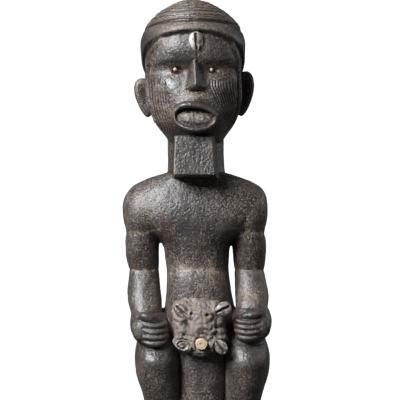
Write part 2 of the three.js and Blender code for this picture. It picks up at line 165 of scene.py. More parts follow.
def points_of(piece: bpy.types.Object) -> Array:
    """The vertices of a piece, one row each."""
    flat = np.empty(len(piece.data.vertices) * 3)
    piece.data.vertices.foreach_get("co", flat)
    return flat.reshape(-1, 3)


def move_points(piece: bpy.types.Object, points: Array) -> None:
    """Puts the vertices of a piece at new places."""
    piece.data.vertices.foreach_set("co", points.ravel())
    piece.data.update()


def normals_of(piece: bpy.types.Object) -> Array:
    """The vertex normals of a piece, one row each."""
    flat = np.empty(len(piece.data.vertices) * 3)
    piece.data.vertex_normals.foreach_get("vector", flat)
    return flat.reshape(-1, 3)


def smoothed(piece: bpy.types.Object, points: Array, rounds: int, weight: Array | float) -> Array:
    """Points drawn towards the mean of their neighbours.

    Args:
        piece: the mesh whose edges join the points.
        points: the places to smooth.
        rounds: how many times they move.
        weight: how far each goes in a round, from 0 to 1.

    Returns:
        The new places.
    """
    edges = np.empty(len(piece.data.edges) * 2, np.int32)
    piece.data.edges.foreach_get("vertices", edges)
    first, second = edges.reshape(-1, 2).T
    count = len(points)
    near = np.bincount(first, minlength=count) + np.bincount(second, minlength=count)
    share = np.broadcast_to(weight, count)[:, None]
    for _ in range(rounds):
        total = np.stack(
            [
                np.bincount(first, points[second, axis], count) + np.bincount(second, points[first, axis], count)
                for axis in range(3)
            ],
            axis=1,
        )
        points = points + share * (total / near[:, None] - points)
    return points


def apply_modifier(piece: bpy.types.Object, kind: str, **settings: object) -> None:
    """Adds a modifier with its settings and applies it."""
    take(piece)
    modifier = piece.modifiers.new(kind.lower(), kind)
    for name, value in settings.items():
        setattr(modifier, name, value)
    bpy.ops.object.modifier_apply(modifier=modifier.name)


def face_out(piece: bpy.types.Object) -> bpy.types.Object:
    """Turns every face of a closed piece outwards."""
    take(piece)
    bpy.ops.object.mode_set(mode="EDIT")
    bpy.ops.mesh.select_all(action="SELECT")
    bpy.ops.mesh.normals_make_consistent(inside=False)
    bpy.ops.object.mode_set(mode="OBJECT")
    return piece


def lofted(sections: list[Section], sides: int = 72, step: float = 2.0) -> bpy.types.Object:
    """A closed solid through level sections, extruded ring by ring.

    Args:
        sections: rows of height, x, y, half width, reach to the front and to the back, and the corner
            exponent, where 2 is an ellipse. The lowest comes first.
        sides: vertices in a ring.
        step: about how far apart the rings are.

    Returns:
        The solid.
    """
    table = np.array(sections, float)
    rings = max(len(table), int((table[-1, 0] - table[0, 0]) / step) + 1)
    heights = np.linspace(table[0, 0], table[-1, 0], rings)
    rows = hermite(table[:, 0], table[:, 1:], heights)
    leave_selection()
    bpy.ops.mesh.primitive_circle_add(vertices=sides, radius=1, fill_type="NGON")
    bpy.ops.object.mode_set(mode="EDIT")
    bpy.ops.mesh.select_all(action="SELECT")
    for _ in heights[1:]:
        bpy.ops.mesh.extrude_region_move(TRANSFORM_OT_translate={"value": (0, 0, 1)})
    piece = bpy.context.object
    bpy.ops.object.mode_set(mode="OBJECT")
    points = points_of(piece)
    ring = np.rint(points[:, 2]).astype(int)
    x, y, half, front, back, square = rows[ring].T
    bent = np.sign(points[:, :2]) * np.abs(points[:, :2]) ** (2 / square)[:, None]
    reach = np.where(points[:, 1] < 0, front, back)
    move_points(piece, np.stack([x + half * bent[:, 0], y + reach * bent[:, 1], heights[ring]], axis=1))
    return face_out(piece)


def on_side(side: Side, sections: list[Section]) -> list[Section]:
    """The same sections on his right or on his left."""
    return [(row[0], side.value * row[1], *row[2:]) for row in sections]


def ball(centre: Spot, radii: Spot, turn: Spot = (0, 0, 0), fine: int = 32) -> bpy.types.Object:
    """An ellipsoid of a size at a place, turned about X, Y and Z."""
    leave_selection()
    bpy.ops.mesh.primitive_uv_sphere_add(segments=fine, ring_count=fine // 2, radius=1)
    piece = bpy.context.object
    turned = Euler(turn).to_matrix().to_4x4()
    piece.data.transform(Matrix.Translation(centre) @ turned @ Matrix.Diagonal((*radii, 1)))
    return piece


def rod(course: Array, half_width: float, half_thickness: float, pieces: int = 40) -> bpy.types.Object:
    """A rounded bar laid along a course, with its width across the view from the front.

    Args:
        course: places along its middle.
        half_width: half its width, square to the course.
        half_thickness: half its depth, from front to back.
        pieces: how many rings it has.

    Returns:
        The bar.
    """
    reach = np.concatenate([[0], np.cumsum(np.linalg.norm(np.diff(course, axis=0), axis=1))])
    middle = hermite(reach, course, np.linspace(0, reach[-1], pieces))
    forward = np.gradient(middle, axis=0)
    forward /= np.linalg.norm(forward, axis=1)[:, None]
    across = np.cross(forward, (0, -1, 0))
    across /= np.linalg.norm(across, axis=1)[:, None]
    deep = np.cross(across, forward)
    leave_selection()
    bpy.ops.mesh.primitive_circle_add(vertices=16, radius=1, fill_type="NGON")
    bpy.ops.object.mode_set(mode="EDIT")
    bpy.ops.mesh.select_all(action="SELECT")
    for _ in range(pieces - 1):
        bpy.ops.mesh.extrude_region_move(TRANSFORM_OT_translate={"value": (0, 0, 1)})
    piece = bpy.context.object
    bpy.ops.object.mode_set(mode="OBJECT")
    points = points_of(piece)
    ring = np.rint(points[:, 2]).astype(int)
    place = middle[ring]
    place = place + half_width * points[:, :1] * across[ring] + half_thickness * points[:, 1:2] * deep[ring]
    move_points(piece, place)
    return face_out(piece)


def joined(pieces: list[bpy.types.Object], name: str) -> bpy.types.Object:
    """One object that holds all the pieces."""
    take(pieces[0])
    for piece in pieces:
        piece.select_set(True)
    bpy.ops.object.join()
    whole = bpy.context.object
    whole.name = name
    return whole


def fused(piece: bpy.types.Object, voxel: float) -> bpy.types.Object:
    """Overlapping shells made one skin of even squares."""
    take(piece)
    piece.data.remesh_voxel_size = voxel
    bpy.ops.object.voxel_remesh()
    return piece


def carve_away(piece: bpy.types.Object, cutter: bpy.types.Object) -> bpy.types.Object:
    """Takes the cutter's shape out of a piece."""
    apply_modifier(piece, "BOOLEAN", object=cutter, operation="DIFFERENCE", solver="EXACT")
    bpy.data.objects.remove(cutter)
    return piece


def settle(piece: bpy.types.Object, bowed: bool = True) -> bpy.types.Object:
    """Moves a finished mesh from straight millimetres to its place in metres, smooth shaded."""
    points = points_of(piece)
    if bowed:
        points[:, 0] += bow(points[:, 2])
    move_points(piece, points * MM)
    take(piece)
    bpy.ops.object.shade_smooth()
    return piece


def mark(piece: bpy.types.Object, name: str, values: Array) -> None:
    """Stores one number for each vertex, which the finishes read."""
    layer = piece.data.attributes.new(name, "FLOAT", "POINT")
    layer.data.foreach_set("value", np.ascontiguousarray(values, np.float32))


# The carved wood

HEAD_SECTIONS: list[Section] = [
    (358, 0, -2, 26, 34, 28, 2.1),
    (366, 0, -2, 32, 44, 34, 2.2),
    (373, 0, -2, 37.5, 47, 40, 2.3),
    (381, 0, -2, 42, 49, 44, 2.4),
    (389, 0, -2, 44.7, 49.5, 47.5, 2.5),
    (397, 0, -2, 46.2, 49.5, 49.5, 2.5),
    (409, 0, -2, 47, 49.3, 51.5, 2.6),
    (420, 0, -2, 47.5, 48.3, 53, 2.6),
    (432, 0, -2, 47.8, 47, 54, 2.6),
    (436, 0, -2, 48, 49.5, 54, 2.6),
    (440, 0, -2, 48, 52, 54, 2.5),
    (454, 0, -2, 47, 52.5, 54, 2.4),
    (468, 0, -1, 43, 48, 50, 2.3),
    (482, 0, 0, 32, 36, 40, 2.2),
]


@dataclass(frozen=True)
class Swell:
    """Where the face swells forward or sinks back: its place, its spread and how far it goes."""

    x: float
    z: float
    across: float
    up: float
    rise: float

    def at(self, x: Array, z: Array) -> Array:
        """How far the face stands forward for this swell at places seen from the front."""
        return self.rise * np.exp(-(((x - self.x) / self.across) ** 2) - ((z - self.z) / self.up) ** 2)


FACE_SWELLS = (
    Swell(0, 386, 26, 18, 8.5),
    Swell(26, 411, 14, 13, 2.4),
    Swell(-26, 411, 14, 13, 2.4),
    Swell(0, 402.5, 13, 6, 2.4),
    Swell(20, 427.5, 15, 8.5, -3.4),
    Swell(-20, 427.5, 15, 8.5, -3.4),
)


# Where ochre dust lies thick on the front, and where hands have polished it off.
DUST = (
    Swell(-52, 288, 18, 22, 0.3),
    Swell(48, 286, 20, 24, 0.3),
    Swell(0, 218, 26, 20, 0.4),
    Swell(-52, 250, 12, 10, 0.25),
    Swell(52, 268, 14, 8, 0.4),
    Swell(0, 473, 36, 5, 0.6),
    Swell(-24, 440, 16, 6, 0.35),
    Swell(6, 443, 14, 9, 0.35),
    Swell(24, 430, 14, 7, 0.45),
    Swell(0, 403, 14, 6, 0.6),
    Swell(1, 381, 17, 6, 0.7),
    Swell(12, 383, 5, 5, 0.6),
    Swell(-34, 395, 12, 20, 0.3),
    Swell(22, 130, 4, 32, 0.8),
    Swell(44, 150, 16, 10, 0.4),
    Swell(-34, 152, 12, 8, 0.3),
    Swell(48, 120, 14, 20, 0.25),
    Swell(0, 322, 24, 6, 0.4),
    Swell(-40, 200, 16, 14, 0.3),
    Swell(52, 206, 12, 10, 0.4),
)
RED_BROWN = (
    Swell(-14, 428.5, 8, 4.5, 0.9),
    Swell(22, 429, 8, 5, 1.0),
    Swell(-40, 262, 8, 16, 0.4),
    Swell(40, 262, 8, 16, 0.4),
    Swell(-33, 175, 7, 20, 0.5),
    Swell(33, 178, 7, 20, 0.5),
)
# Painted shade: patches darkened where shade falls, on the cloth under the packet, between the packet and his left
# fist, beside his right thigh and under the lower lip.
PAINTED_SHADE = (
    Swell(-6, 132, 13, 30, 0.8),
    Swell(30, 170, 6, 16, 0.7),
    Swell(-30, 138, 5, 26, 0.6),
    Swell(0, 368, 22, 2.5, 0.5),
)
SHINE = (
    Swell(-13, 288, 18, 18, 1.0),
    Swell(-26, 417, 7, 9, 1.0),
    Swell(-14, 446, 12, 9, 0.7),
    Swell(-4, 343, 18, 17, 0.6),
    Swell(-50, 148, 14, 8, 1.0),
    Swell(44, 148, 9, 8, 0.8),
    Swell(0, 480, 30, 3, 0.8),
    Swell(-48, 455, 8, 12, 0.8),
    Swell(1.5, 412, 3, 4, 1.0),
    Swell(-4, 395, 16, 3, 1.0),
    Swell(-6, 370.5, 18, 3, 1.0),
    Swell(-51, 184, 12, 5, 0.8),
    Swell(51, 186, 12, 6, 0.7),
)


def face_swell(x: Array, z: Array) -> Array:
    """How far the face stands forward of the plain head at places seen from the front."""
    return sum(swell.at(x, z) for swell in FACE_SWELLS)


def on_face(x: float, z: float, proud: float) -> float:
    """The y of the face's surface at a place seen from the front, moved forward by proud."""
    table = np.array(HEAD_SECTIONS, float)
    _, y, half, front, _, square = hermite(table[:, 0], table[:, 1:], np.array([z]))[0]
    across = min(1.0, abs(x) / half)
    plain = y - front * (1 - across**square) ** (1 / square)
    return float(plain - face_swell(np.array([x]), np.array([z]))[0] - proud)


@dataclass
class HandForm:
    """Sizes of one fist: its height, its thumb and its fingers."""

    z: float
    thumb_z: float
    thumb_tilt: float
    thumb_half_height: float
    finger_top: float
    finger_pitch: float


@dataclass
class CarvedFigure:
    """The whole man and his base, carved from one branch."""

    hands: dict[Side, HandForm] = field(
        default_factory=lambda: {
            Side.RIGHT: HandForm(170, 183, 0.32, 5.6, 176, 5.9),
            Side.LEFT: HandForm(174, 186, 0.14, 4.8, 179.5, 5.2),
        }
    )
    ear_z: dict[Side, float] = field(default_factory=lambda: {Side.RIGHT: 402.5, Side.LEFT: 406.5})
    ear_half_height: dict[Side, float] = field(default_factory=lambda: {Side.RIGHT: 20, Side.LEFT: 23})
    fist_x: float = 51.5
    fist_front: float = -43
    mouth_z: float = 381.8
    mouth_y: float = -56.5
    mouth_half_width: float = 20.6
    mouth_half_height: float = 12.1
    mouth_lean: float = 0.12
    mouth_turn: float = 0.05
    mouth_skew: float = 3.5
    lip_side: float = 2.1
    lip_middle: float = 3.5
    lip_depth: float = 6
    lip_wrap: float = 5.5
    cap_tilt: float = 0.17
    cap_rim_z: float = 472
    cap_rim_radius: float = 46
    cap_depth_ratio: float = 1.12
    cap_y: float = 3
    rib_grooves: tuple[tuple[float, float], ...] = (
        (-2, -1), (1, 0), (3.8, 1), (9.2, 2), (13, 3), (16.7, 4), (19.7, 5), (22.4, 6), (25, 7), (28, 8))
    hairline_front: tuple[float, float] = (-56, 468)
    hairline_side: tuple[float, float] = (0, 437)

    def base(self) -> list[bpy.types.Object]:
        """The low base under his feet."""
        return [lofted([(0, 0, 0, 60.5, 59.5, 47.5, 3.2), (1, 0, 0, 61, 60, 48, 3.2),
                        (13, 0, 0, 60.2, 59.2, 47.2, 3.2), (15, 0, 0, 58.5, 57.5, 45.5, 3.2)])]

    def leg(self, side: Side) -> bpy.types.Object:
        """A leg from the sole to the hip, with a block foot, a full calf and a swelling thigh."""
        return lofted(on_side(side, [
            (11, 34, -8, 16.5, 40, 27, 3),
            (24, 34, -8, 16, 37, 26, 2.6),
            (31, 34, -6, 14.5, 23, 23, 2.3),
            (41, 34.5, 0, 13, 14, 15, 2.1),
            (56, 36, 1, 16.5, 14, 21, 2.1),
            (72, 37, 0, 18, 17, 22, 2.1),
            (86, 37.5, -5, 17.8, 22, 16, 2.2),
            (98, 39, -7, 18.5, 24, 18, 2.2),
            (112, 41.3, -8, 20, 29, 27, 2.3),
            (126, 43.8, -8, 22, 34, 34, 2.3),
            (139, 44.8, -8, 22.5, 38, 38, 2.3),
            (150, 44.5, -7, 22.3, 34, 41, 2.3),
            (164, 41, -4, 22, 24, 41, 2.2),
            (180, 36, 0, 19, 16, 33, 2.2),
            (192, 30, 2, 9, 8, 15, 2),
        ]))

    def torso(self) -> list[bpy.types.Object]:
        """The loincloth's block, the trunk, the neck and the slab of the beard."""
        cloth = lofted([
            (62, 0, -8, 19, 21, 12, 3),
            (66, 0, -8, 21, 24, 15, 3),
            (106, 0, -8, 22, 26, 19, 2.8),
            (158, 0, -8, 23, 27, 24, 2.8),
        ])
        trunk = lofted([
            (142, 0, 2, 28, 30, 34, 2.4),
            (158, 0, 2, 38, 35, 38, 2.4),
            (176, 0, 1, 38.5, 36, 38, 2.5),
            (192, 0, 0, 35, 36.5, 34, 2.7),
            (208, 0, 0, 32.6, 36.3, 29.5, 2.8),
            (229, 0, 0, 31, 33.5, 26.5, 2.7),
            (232, 0, 0, 31, 31.8, 26.5, 2.6),
            (244, 0, 0, 32, 32.5, 28, 2.5),
            (256, 0, 0, 34.5, 34.5, 30, 2.4),
            (264, 0, 0, 43, 36, 31, 2.35),
            (273, 0, 0, 56, 37, 32, 2.4),
            (284, 0, 0, 67, 37, 32.5, 2.45),
            (297, 0, 0, 71, 35, 32, 2.4),
            (308, 0, 0, 68.5, 32, 30, 2.3),
            (315, 0, 0, 62, 30, 28.5, 2.15),
            (321, 0, 0, 49.5, 28.8, 28, 2.1),
            (327, 0, 0, 31, 28, 28, 2),
        ], sides=112)
        neck = lofted([(318, 0, 0, 30, 29, 29, 2), (333, 0, 0, 28.5, 28, 28, 2), (372, 0, 0, 28, 28, 28, 2)])
        return [cloth, trunk, neck, self.beard()]

    def beard(self) -> bpy.types.Object:
        """A slab that widens and leans forward as it goes down, set a little to his right."""
        leave_selection()
        bpy.ops.mesh.primitive_cube_add(size=2)
        slab = bpy.context.object
        points = points_of(slab)
        low = points[:, 2] < 0
        front = points[:, 1] < 0
        half = np.where(front, np.where(low, 20.5, 18.5), np.where(low, 22.4, 21.2))
        points[:, 0] = points[:, 0] * half - np.where(front, 2.0, 0.0)
        points[:, 1] = np.where(front, np.where(low, -57, -49), -16)
        points[:, 2] = np.where(low, np.where(front, 324.5, 321), 363)
        move_points(slab, points)
        return slab

    def arm(self, side: Side) -> bpy.types.Object:
        """An arm from the round shoulder to the wrist, creased under the shoulder and at the elbow."""
        rise = self.hands[side].z - self.hands[Side.RIGHT].z
        piece = lofted(on_side(side, [
            (185 + rise, 52, -18, 15, 16, 17, 2.3),
            (192 + rise, 53, -14.5, 16.2, 17.5, 17, 2.3),
            (206, 53.6, -6.5, 16.8, 19, 17.5, 2.3),
            (221, 53, 0.5, 15.6, 18.8, 18.4, 2.2),
            (230, 52.6, 3, 15, 17, 18.5, 2.2),
            (240, 53.2, 2.5, 16.2, 18.5, 18.5, 2.2),
            (253, 53.5, 1, 17, 20, 19, 2.2),
            (264, 52.6, 0, 17.2, 21.5, 20.5, 2.2),
            (270, 51.6, 0, 17.6, 23, 22, 2.2),
            (277, 52, 0, 19.4, 26.5, 25, 2.2),
            (288, 52, 0, 20.6, 27.5, 27, 2.2),
            (299, 52, 0, 19.8, 25, 26, 2.15),
            (308, 51, 0, 16, 20, 20, 2.1),
            (314, 49, 0, 8, 10, 10, 2),
        ]), step=1.5)
        piece.data.transform(Matrix.Translation((-1, 0, 0)))
        return piece

    def fist(self, side: Side) -> list[bpy.types.Object]:
        """A fist with four fingers bent round its front and the thumb laid over them."""
        form = self.hands[side]
        out = side.value
        block = lofted(on_side(side, [
            (form.z - 18, self.fist_x - 5, -24, 7, 9, 12, 2.1),
            (form.z - 14, self.fist_x - 4, -23, 12, 13.5, 18, 2.2),
            (form.z - 8, self.fist_x - 2, -22, 16, 17, 23, 2.2),
            (form.z, self.fist_x - 0.3, -22, 18.8, 18.5, 25, 2.2),
            (form.z + 9, self.fist_x, -22, 19, 18.5, 24, 2.2),
            (form.z + 18, self.fist_x + 0.5, -18, 16.5, 18, 22, 2.2),
        ]))
        back = ball((out * (self.fist_x + 8), self.fist_front + 7.5, form.z + 1), (9.5, 9, 12.5))
        size = (10.8, 7.4, form.thumb_half_height)
        centre = (out * (self.fist_x - 0.5), self.fist_front + 3.2, form.thumb_z)
        thumb = ball(centre, size, (0, -out * form.thumb_tilt, 0))
        return [block, back, *(self.finger(side, i) for i in range(4)), thumb]

    def finger(self, side: Side, order: int) -> bpy.types.Object:
        """One finger, which comes out of the back of the hand, crosses its front and curls in.

        Args:
            side: his right or left hand.
            order: 0 for the first finger, and 3 for the little one.

        Returns:
            The finger.
        """
        form = self.hands[side]
        x, y, z = self.fist_x, self.fist_front, form.finger_top - order * form.finger_pitch
        tuck = 2.0 if order == 3 else 0.0
        course = [
            (x + 9 - tuck, y + 7, z + 2.4),
            (x + 4 - tuck, y + 2.2 + tuck / 2, z + 0.4),
            (x - 3, y + 0.6 + tuck / 2, z - 0.9),
            (x - 10.5, y + 1.6 + tuck / 2, z - 0.4),
            (x - 17 + tuck, y + 8, z + 1.6),
        ]
        places = np.array([(side.value * px, py, pz) for px, py, pz in course])
        return rod(places, form.finger_pitch * 0.53, 4.2)

    def skull(self) -> bpy.types.Object:
        """The head with the hollows of its mouth and eyes, without its other features."""
        piece = lofted(HEAD_SECTIONS, sides=128, step=1.5)
        points = points_of(piece)
        facing = ease(12, 30, -points[:, 1])
        points[:, 1] -= facing * face_swell(points[:, 0], points[:, 2])
        move_points(piece, points)
        mouth = ball((-1, self.mouth_y, self.mouth_z + 0.4), (18.5, 13, 9.5), (0, self.mouth_turn, 0))
        carve_away(piece, mouth)
        for side in Side:
            x = side.value * 18 + 2
            hollow = ball((x, on_face(side.value * 18, 429, 0.8), 428.2), (6.2, 4.8, 3.4), fine=24)
            carve_away(piece, hollow)
        return piece

    def lips(self) -> list[bpy.types.Object]:
        """The ring of the lips, which wraps round the muzzle, and the low tongue inside it."""
        leave_selection()
        bpy.ops.mesh.primitive_torus_add(major_segments=96, minor_segments=32, major_radius=1, minor_radius=0.25)
        ring = bpy.context.object
        points = points_of(ring)
        round_mouth = np.arctan2(points[:, 1], points[:, 0])
        rise = np.sin(round_mouth)
        swell = (np.hypot(points[:, 0], points[:, 1]) - 1) / 0.25
        fat = self.lip_side + (self.lip_middle - self.lip_side) * rise**2
        across = (self.mouth_half_width + fat * swell) * np.cos(round_mouth)
        up = (self.mouth_half_height + fat * swell) * rise
        across -= self.mouth_skew * np.clip(rise, 0, 1) ** 2
        deep = points[:, 2] / 0.25 * self.lip_depth - self.lip_wrap * np.cos(round_mouth) ** 2
        move_points(ring, np.stack([across, up, deep], axis=1))
        turn = Matrix.Rotation(self.mouth_turn, 4, "Y") @ Matrix.Rotation(math.pi / 2 + self.mouth_lean, 4, "X")
        ring.data.transform(Matrix.Translation((0, self.mouth_y, self.mouth_z)) @ turn)
        tongue = ball((1, self.mouth_y + 5.2, self.mouth_z - 1.6), (19.5, 8, 9.6), (-0.5, self.mouth_turn + 0.06, 0))
        points = points_of(tongue)
        fan = np.arctan2(points[:, 0] - 1, points[:, 2] - self.mouth_z + 16)
        points[:, 1] += 0.45 * np.cos(22 * fan) + 0.4 * value_noise(points, 3, 24)
        move_points(tongue, points)
        return [ring, tongue]

    def nose(self) -> bpy.types.Object:
        """A wedge with a sharp ridge and a broad flat base."""
        return lofted([
            (407.8, 2, -44, 11, 11, 4, 2),
            (409.5, 2, -44, 15, 16, 4, 1.7),
            (413, 2, -44, 15, 19.4, 4, 1.35),
            (418, 2, -44, 11.5, 17.8, 4, 1.3),
            (424, 2, -43, 9, 15.8, 4, 1.3),
            (434, 1.5, -43, 6.4, 12, 4, 1.4),
            (446, 0.5, -43, 4.2, 8.8, 4, 1.5),
        ], sides=64, step=1)

    def laid(self, course: list[tuple[float, float]], half_width: float, half_thickness: float,
             proud: float) -> bpy.types.Object:
        """A bar laid on the face, which stands proud of it except at its two ends, where it sinks in.

        Args:
            course: (x, z) places seen from the front.
            half_width: half its width.
            half_thickness: half its depth.
            proud: how far it stands out.

        Returns:
            The bar.
        """
        last = len(course) - 1
        places = [
            (x, on_face(x, z, (-1 if i in (0, last) else proud) - half_thickness), z)
            for i, (x, z) in enumerate(course)
        ]
        return rod(np.array(places), half_width, half_thickness)

    def brows_and_rims(self) -> list[bpy.types.Object]:
        """The brows, and the rims that bound the face from under the cap to the jaw."""
        brow = [(4, 437.5), (17, 440.5), (30, 439), (41, 431)]
        right_rim = [(-22, 463), (-33, 455.5), (-41.5, 446), (-44.6, 434), (-45.2, 416), (-43.6, 397), (-37.5, 378)]
        left_rim = [(33, 466), (39, 453), (43.5, 438), (44.5, 418), (43.5, 398), (37, 377)]
        bars = [self.laid([(side.value * x, z) for x, z in brow], 3.2, 2.4, 0.2) for side in Side]
        return [*bars, self.laid(right_rim, 3.4, 2.8, 1.7), self.laid(left_rim, 3.0, 2.8, 1.7)]

    def ear(self, side: Side) -> bpy.types.Object:
        """A flat lobe that stands out, broad above and narrow below, with its front scooped."""
        lobe = ball((0, 0, 0), (1, 1, 1), fine=48)
        points = points_of(lobe)
        points[:, 0] *= 1 + 0.28 * points[:, 2]
        rim = np.hypot(points[:, 0] + 0.1 * side.value, 0.94 * points[:, 2] - 0.06)
        front = ease(0.0, 0.5, -points[:, 1])
        points[:, 1] += front * 0.6 * (1 - ease(0.1, 0.9, rim))
        move_points(lobe, points)
        half = self.ear_half_height[side]
        turn = Euler((0, side.value * 0.16, 0)).to_matrix().to_4x4()
        place = Matrix.Translation((side.value * 49.6, 5, self.ear_z[side]))
        lobe.data.transform(place @ turn @ Matrix.Diagonal((9.4, 6, half, 1)))
        return lobe

    def cap(self) -> list[bpy.types.Object]:
        """The smooth lower cap, cut along the hairline, and the tilted dome that carries the ribs."""
        lower = lofted([
            (390, 0, 2, 38, 44, 40, 2.1),
            (406, 0, 2, 46, 51, 51, 2.3),
            (428, 0, 1, 50.5, 55, 57, 2.4),
            (446, 0, 1, 52, 56.5, 58.5, 2.4),
            (458, 0, 1, 52.3, 57.5, 58.5, 2.35),
            (466, 0, 1, 50, 58, 56, 2.25),
            (472, 0, 1, 46.4, 56, 51, 2.15),
            (478, 0, 1, 38, 51, 44, 2.1),
            (482, 0, 1, 30, 44, 36, 2),
        ], sides=112)
        front_y, front_z = self.hairline_front
        side_y, side_z = self.hairline_side
        slope = math.atan2(side_z - front_z, side_y - front_y)
        take(lower)
        bpy.ops.object.mode_set(mode="EDIT")
        bpy.ops.mesh.select_all(action="SELECT")
        normal = (0, -math.sin(slope), math.cos(slope))
        bpy.ops.mesh.bisect(plane_co=(0, side_y, side_z), plane_no=normal, use_fill=True, clear_inner=True)
        bpy.ops.object.mode_set(mode="OBJECT")
        rise = HEIGHT - self.cap_rim_z
        heights = 1 - (1 - np.linspace(0, 1, 24)) ** 1.8
        radii = self.cap_rim_radius * np.maximum(1 - heights**1.25, 0.0005) ** 0.6 + 0.5
        rows = [(-8, 0, 0, self.cap_rim_radius - 2, self.cap_rim_radius - 2, self.cap_rim_radius - 2, 2)]
        rows += [(h * rise, 0, 0, r, r, r, 2) for h, r in zip(heights, radii)]
        dome = lofted(rows, sides=112, step=0.7)
        turn = Euler((-self.cap_tilt, 0, 0)).to_matrix().to_4x4()
        place = Matrix.Translation((0, self.cap_y, self.cap_rim_z))
        dome.data.transform(place @ turn @ Matrix.Diagonal((1, self.cap_depth_ratio, 1, 1)))
        return [lower, dome]

    def rough_out(self) -> bpy.types.Object:
        """All the forms fused into one skin."""
        pieces = [*self.base(), *self.torso(), self.skull(), *self.lips(), self.nose(), *self.brows_and_rims()]
        pieces += self.cap()
        for side in Side:
            pieces += [self.leg(side), self.arm(side), self.ear(side), *self.fist(side)]
        return fused(joined(pieces, "teke_carved_figure"), VOXEL)

    def softened(self, piece: bpy.types.Object) -> None:
        """Blends the joins between the forms, broadly on the body and lightly on the head and fists."""
        points = points_of(piece)
        x, y, z = points.T
        body = 1 - ease(318, 330, z)
        hands = ease(20, 30, -y) * ease(150, 156, z) * (1 - ease(190, 198, z)) * ease(30, 36, np.abs(x))
        beside_nose = ease(2.5, 6, np.abs(x - 1.5)) * hump(x, 18) * ease(404, 410, z) * (1 - ease(440, 450, z))
        hairline = hump(self.above_hairline(points), 6)
        brow = hump(z - 437, 6) * ease(6, 10, np.abs(x)) * ease(24, 34, -y)
        points = smoothed(piece, points, 3, 0.5)
        share = np.clip(body * (1 - hands) + beside_nose * ease(35, 40, -y), 0, 1)
        points = smoothed(piece, points, 16, 0.5 * share)
        share = np.clip(beside_nose * ease(35, 40, -y) + (hairline + 0.9 * brow) * ease(20, 30, -y), 0, 1)
        points = smoothed(piece, points, 24, 0.5 * share)
        move_points(piece, points)

    def above_hairline(self, points: Array) -> Array:
        """How far points lie above the plane of the cap's lower edge."""
        front_y, front_z = self.hairline_front
        side_y, side_z = self.hairline_side
        slope = math.atan2(side_z - front_z, side_y - front_y)
        return (points[:, 2] - side_z) * math.cos(slope) - (points[:, 1] - side_y) * math.sin(slope)

    def ribs(self, points: Array) -> Array:
        """How far the cap's ribs and brim stand out of the dome."""
        turn = np.array(Euler((self.cap_tilt, 0, 0)).to_matrix())
        local = (points - (0, self.cap_y, self.cap_rim_z)) @ turn.T
        height = local[:, 2] / (HEIGHT - self.cap_rim_z)
        angle = np.arctan2(local[:, 0], -local[:, 1])
        wander = 0.05 * np.sin(3 * angle + 1) + 0.04 * value_noise(points, 9, 11)
        phase = along(self.rib_grooves, local[:, 2]) + wander
        ridge = np.abs(np.sin(math.pi * phase)) ** 0.55
        on_dome = ease(-0.02, 0.03, height)
        near_rim = ease(38, 42, np.hypot(local[:, 0], local[:, 1] / self.cap_depth_ratio))
        brim = (hump(height + 0.01, 0.05) - 1.2 * hump(height + 0.12, 0.045)) * near_rim
        return on_dome * (2.1 * ridge - 1.4) + 0.8 * brim

    def striations(self, points: Array) -> tuple[Array, Array]:
        """Cheek lines: how deep the cut is, from 0 to 1, and where such lines run at all."""
        x, y, z = points.T
        edge = along([(370, 37), (385, 43.5), (400, 46), (420, 46.5), (432, 46)], z)
        right_step = (x + edge - 3.4) / 2.6
        fall = np.clip(412 - z, 0, 40)
        left_step = (x - 15 - 0.42 * fall) / (2.75 - 0.032 * fall)
        step = np.where(x < 0, right_step, left_step)
        line = np.abs(np.sin(math.pi * (step + 0.12 * value_noise(points, 5, 21)))) ** 1.5
        reach_right = ease(-0.3, 0.3, right_step) * (1 - ease(6.1, 7, right_step + 0.05 * np.abs(z - 395)))
        reach_left = ease(-0.2, 0.4, left_step) * (1 - ease(43, 45, x))
        height = ease(365, 372, z) * (1 - ease(414, 422, z))
        mouth = np.hypot(x / 27, (z - self.mouth_z) / 17.5)
        zone = height * ease(0.96, 1.06, mouth) * ease(14, 22, -y) * np.where(x < 0, reach_right, reach_left)
        return line * zone, zone

    def creases(self, points: Array) -> Array:
        """How deep the grooves are under the shoulders, at the elbows and at the waist."""
        x, y, z = points.T
        wander = 0.8 * value_noise(points, 14, 23)
        arm = ease(33, 37, np.abs(x + 1)) * ease(-12, -2, -y)
        belly = 1 - ease(28, 33, np.abs(x))
        broken = 0.65 + 0.35 * value_noise(points, 7, 25)
        under_shoulder = 1.0 * hump(z - 269.5 - wander + 0.16 * (np.abs(x) - 50), 2.2) * arm
        elbow = 1.1 * hump(z - 230.3 - wander, 1.9) * arm
        waist = 1.0 * hump(z - 230.6 - wander + 0.004 * x * x, 1.7) * belly * ease(5, 15, -y)
        crack = 0.9 * hump(x - 4.2 - 0.5 * value_noise(points, 3, 26), 0.8) * ease(435, 437, z) * (1 - ease(445, 448, z))
        return (under_shoulder + elbow + waist) * broken + crack * ease(30, 40, -y)

    def carve(self, piece: bpy.types.Object) -> None:
        """The fine carving: ribs, cheek lines, nails, toes and the marks of the blade."""
        points = points_of(piece)
        normals = normals_of(piece)
        x, y, z = points.T
        depth = self.ribs(points)
        depth -= 1.1 * self.striations(points)[0]
        depth -= self.creases(points)
        for side in Side:
            form = self.hands[side]
            nail_x = side.value * (self.fist_x - 7)
            nail = np.hypot((x - nail_x) / 3.4, (z - form.thumb_z + 0.9) / 2.4)
            depth -= 0.5 * (1 - ease(0.8, 1.0, nail)) * ease(34, 40, -y)
            for i in range(1, 5):
                toe = side.value * (34 - 15 + 6.0 * i)
                depth -= 2.0 * hump(x - toe, 0.9) * ease(28, 34, -y) * ease(15.5, 17, z) * (1 - ease(26, 30, z))
        depth += 0.32 * value_noise(points * (1, 1, 0.6), 8, 31) + 0.15 * value_noise(points, 3.4, 32)
        points = points + normals * (depth * ease(0, 2.5, z))[:, None]
        move_points(piece, points)

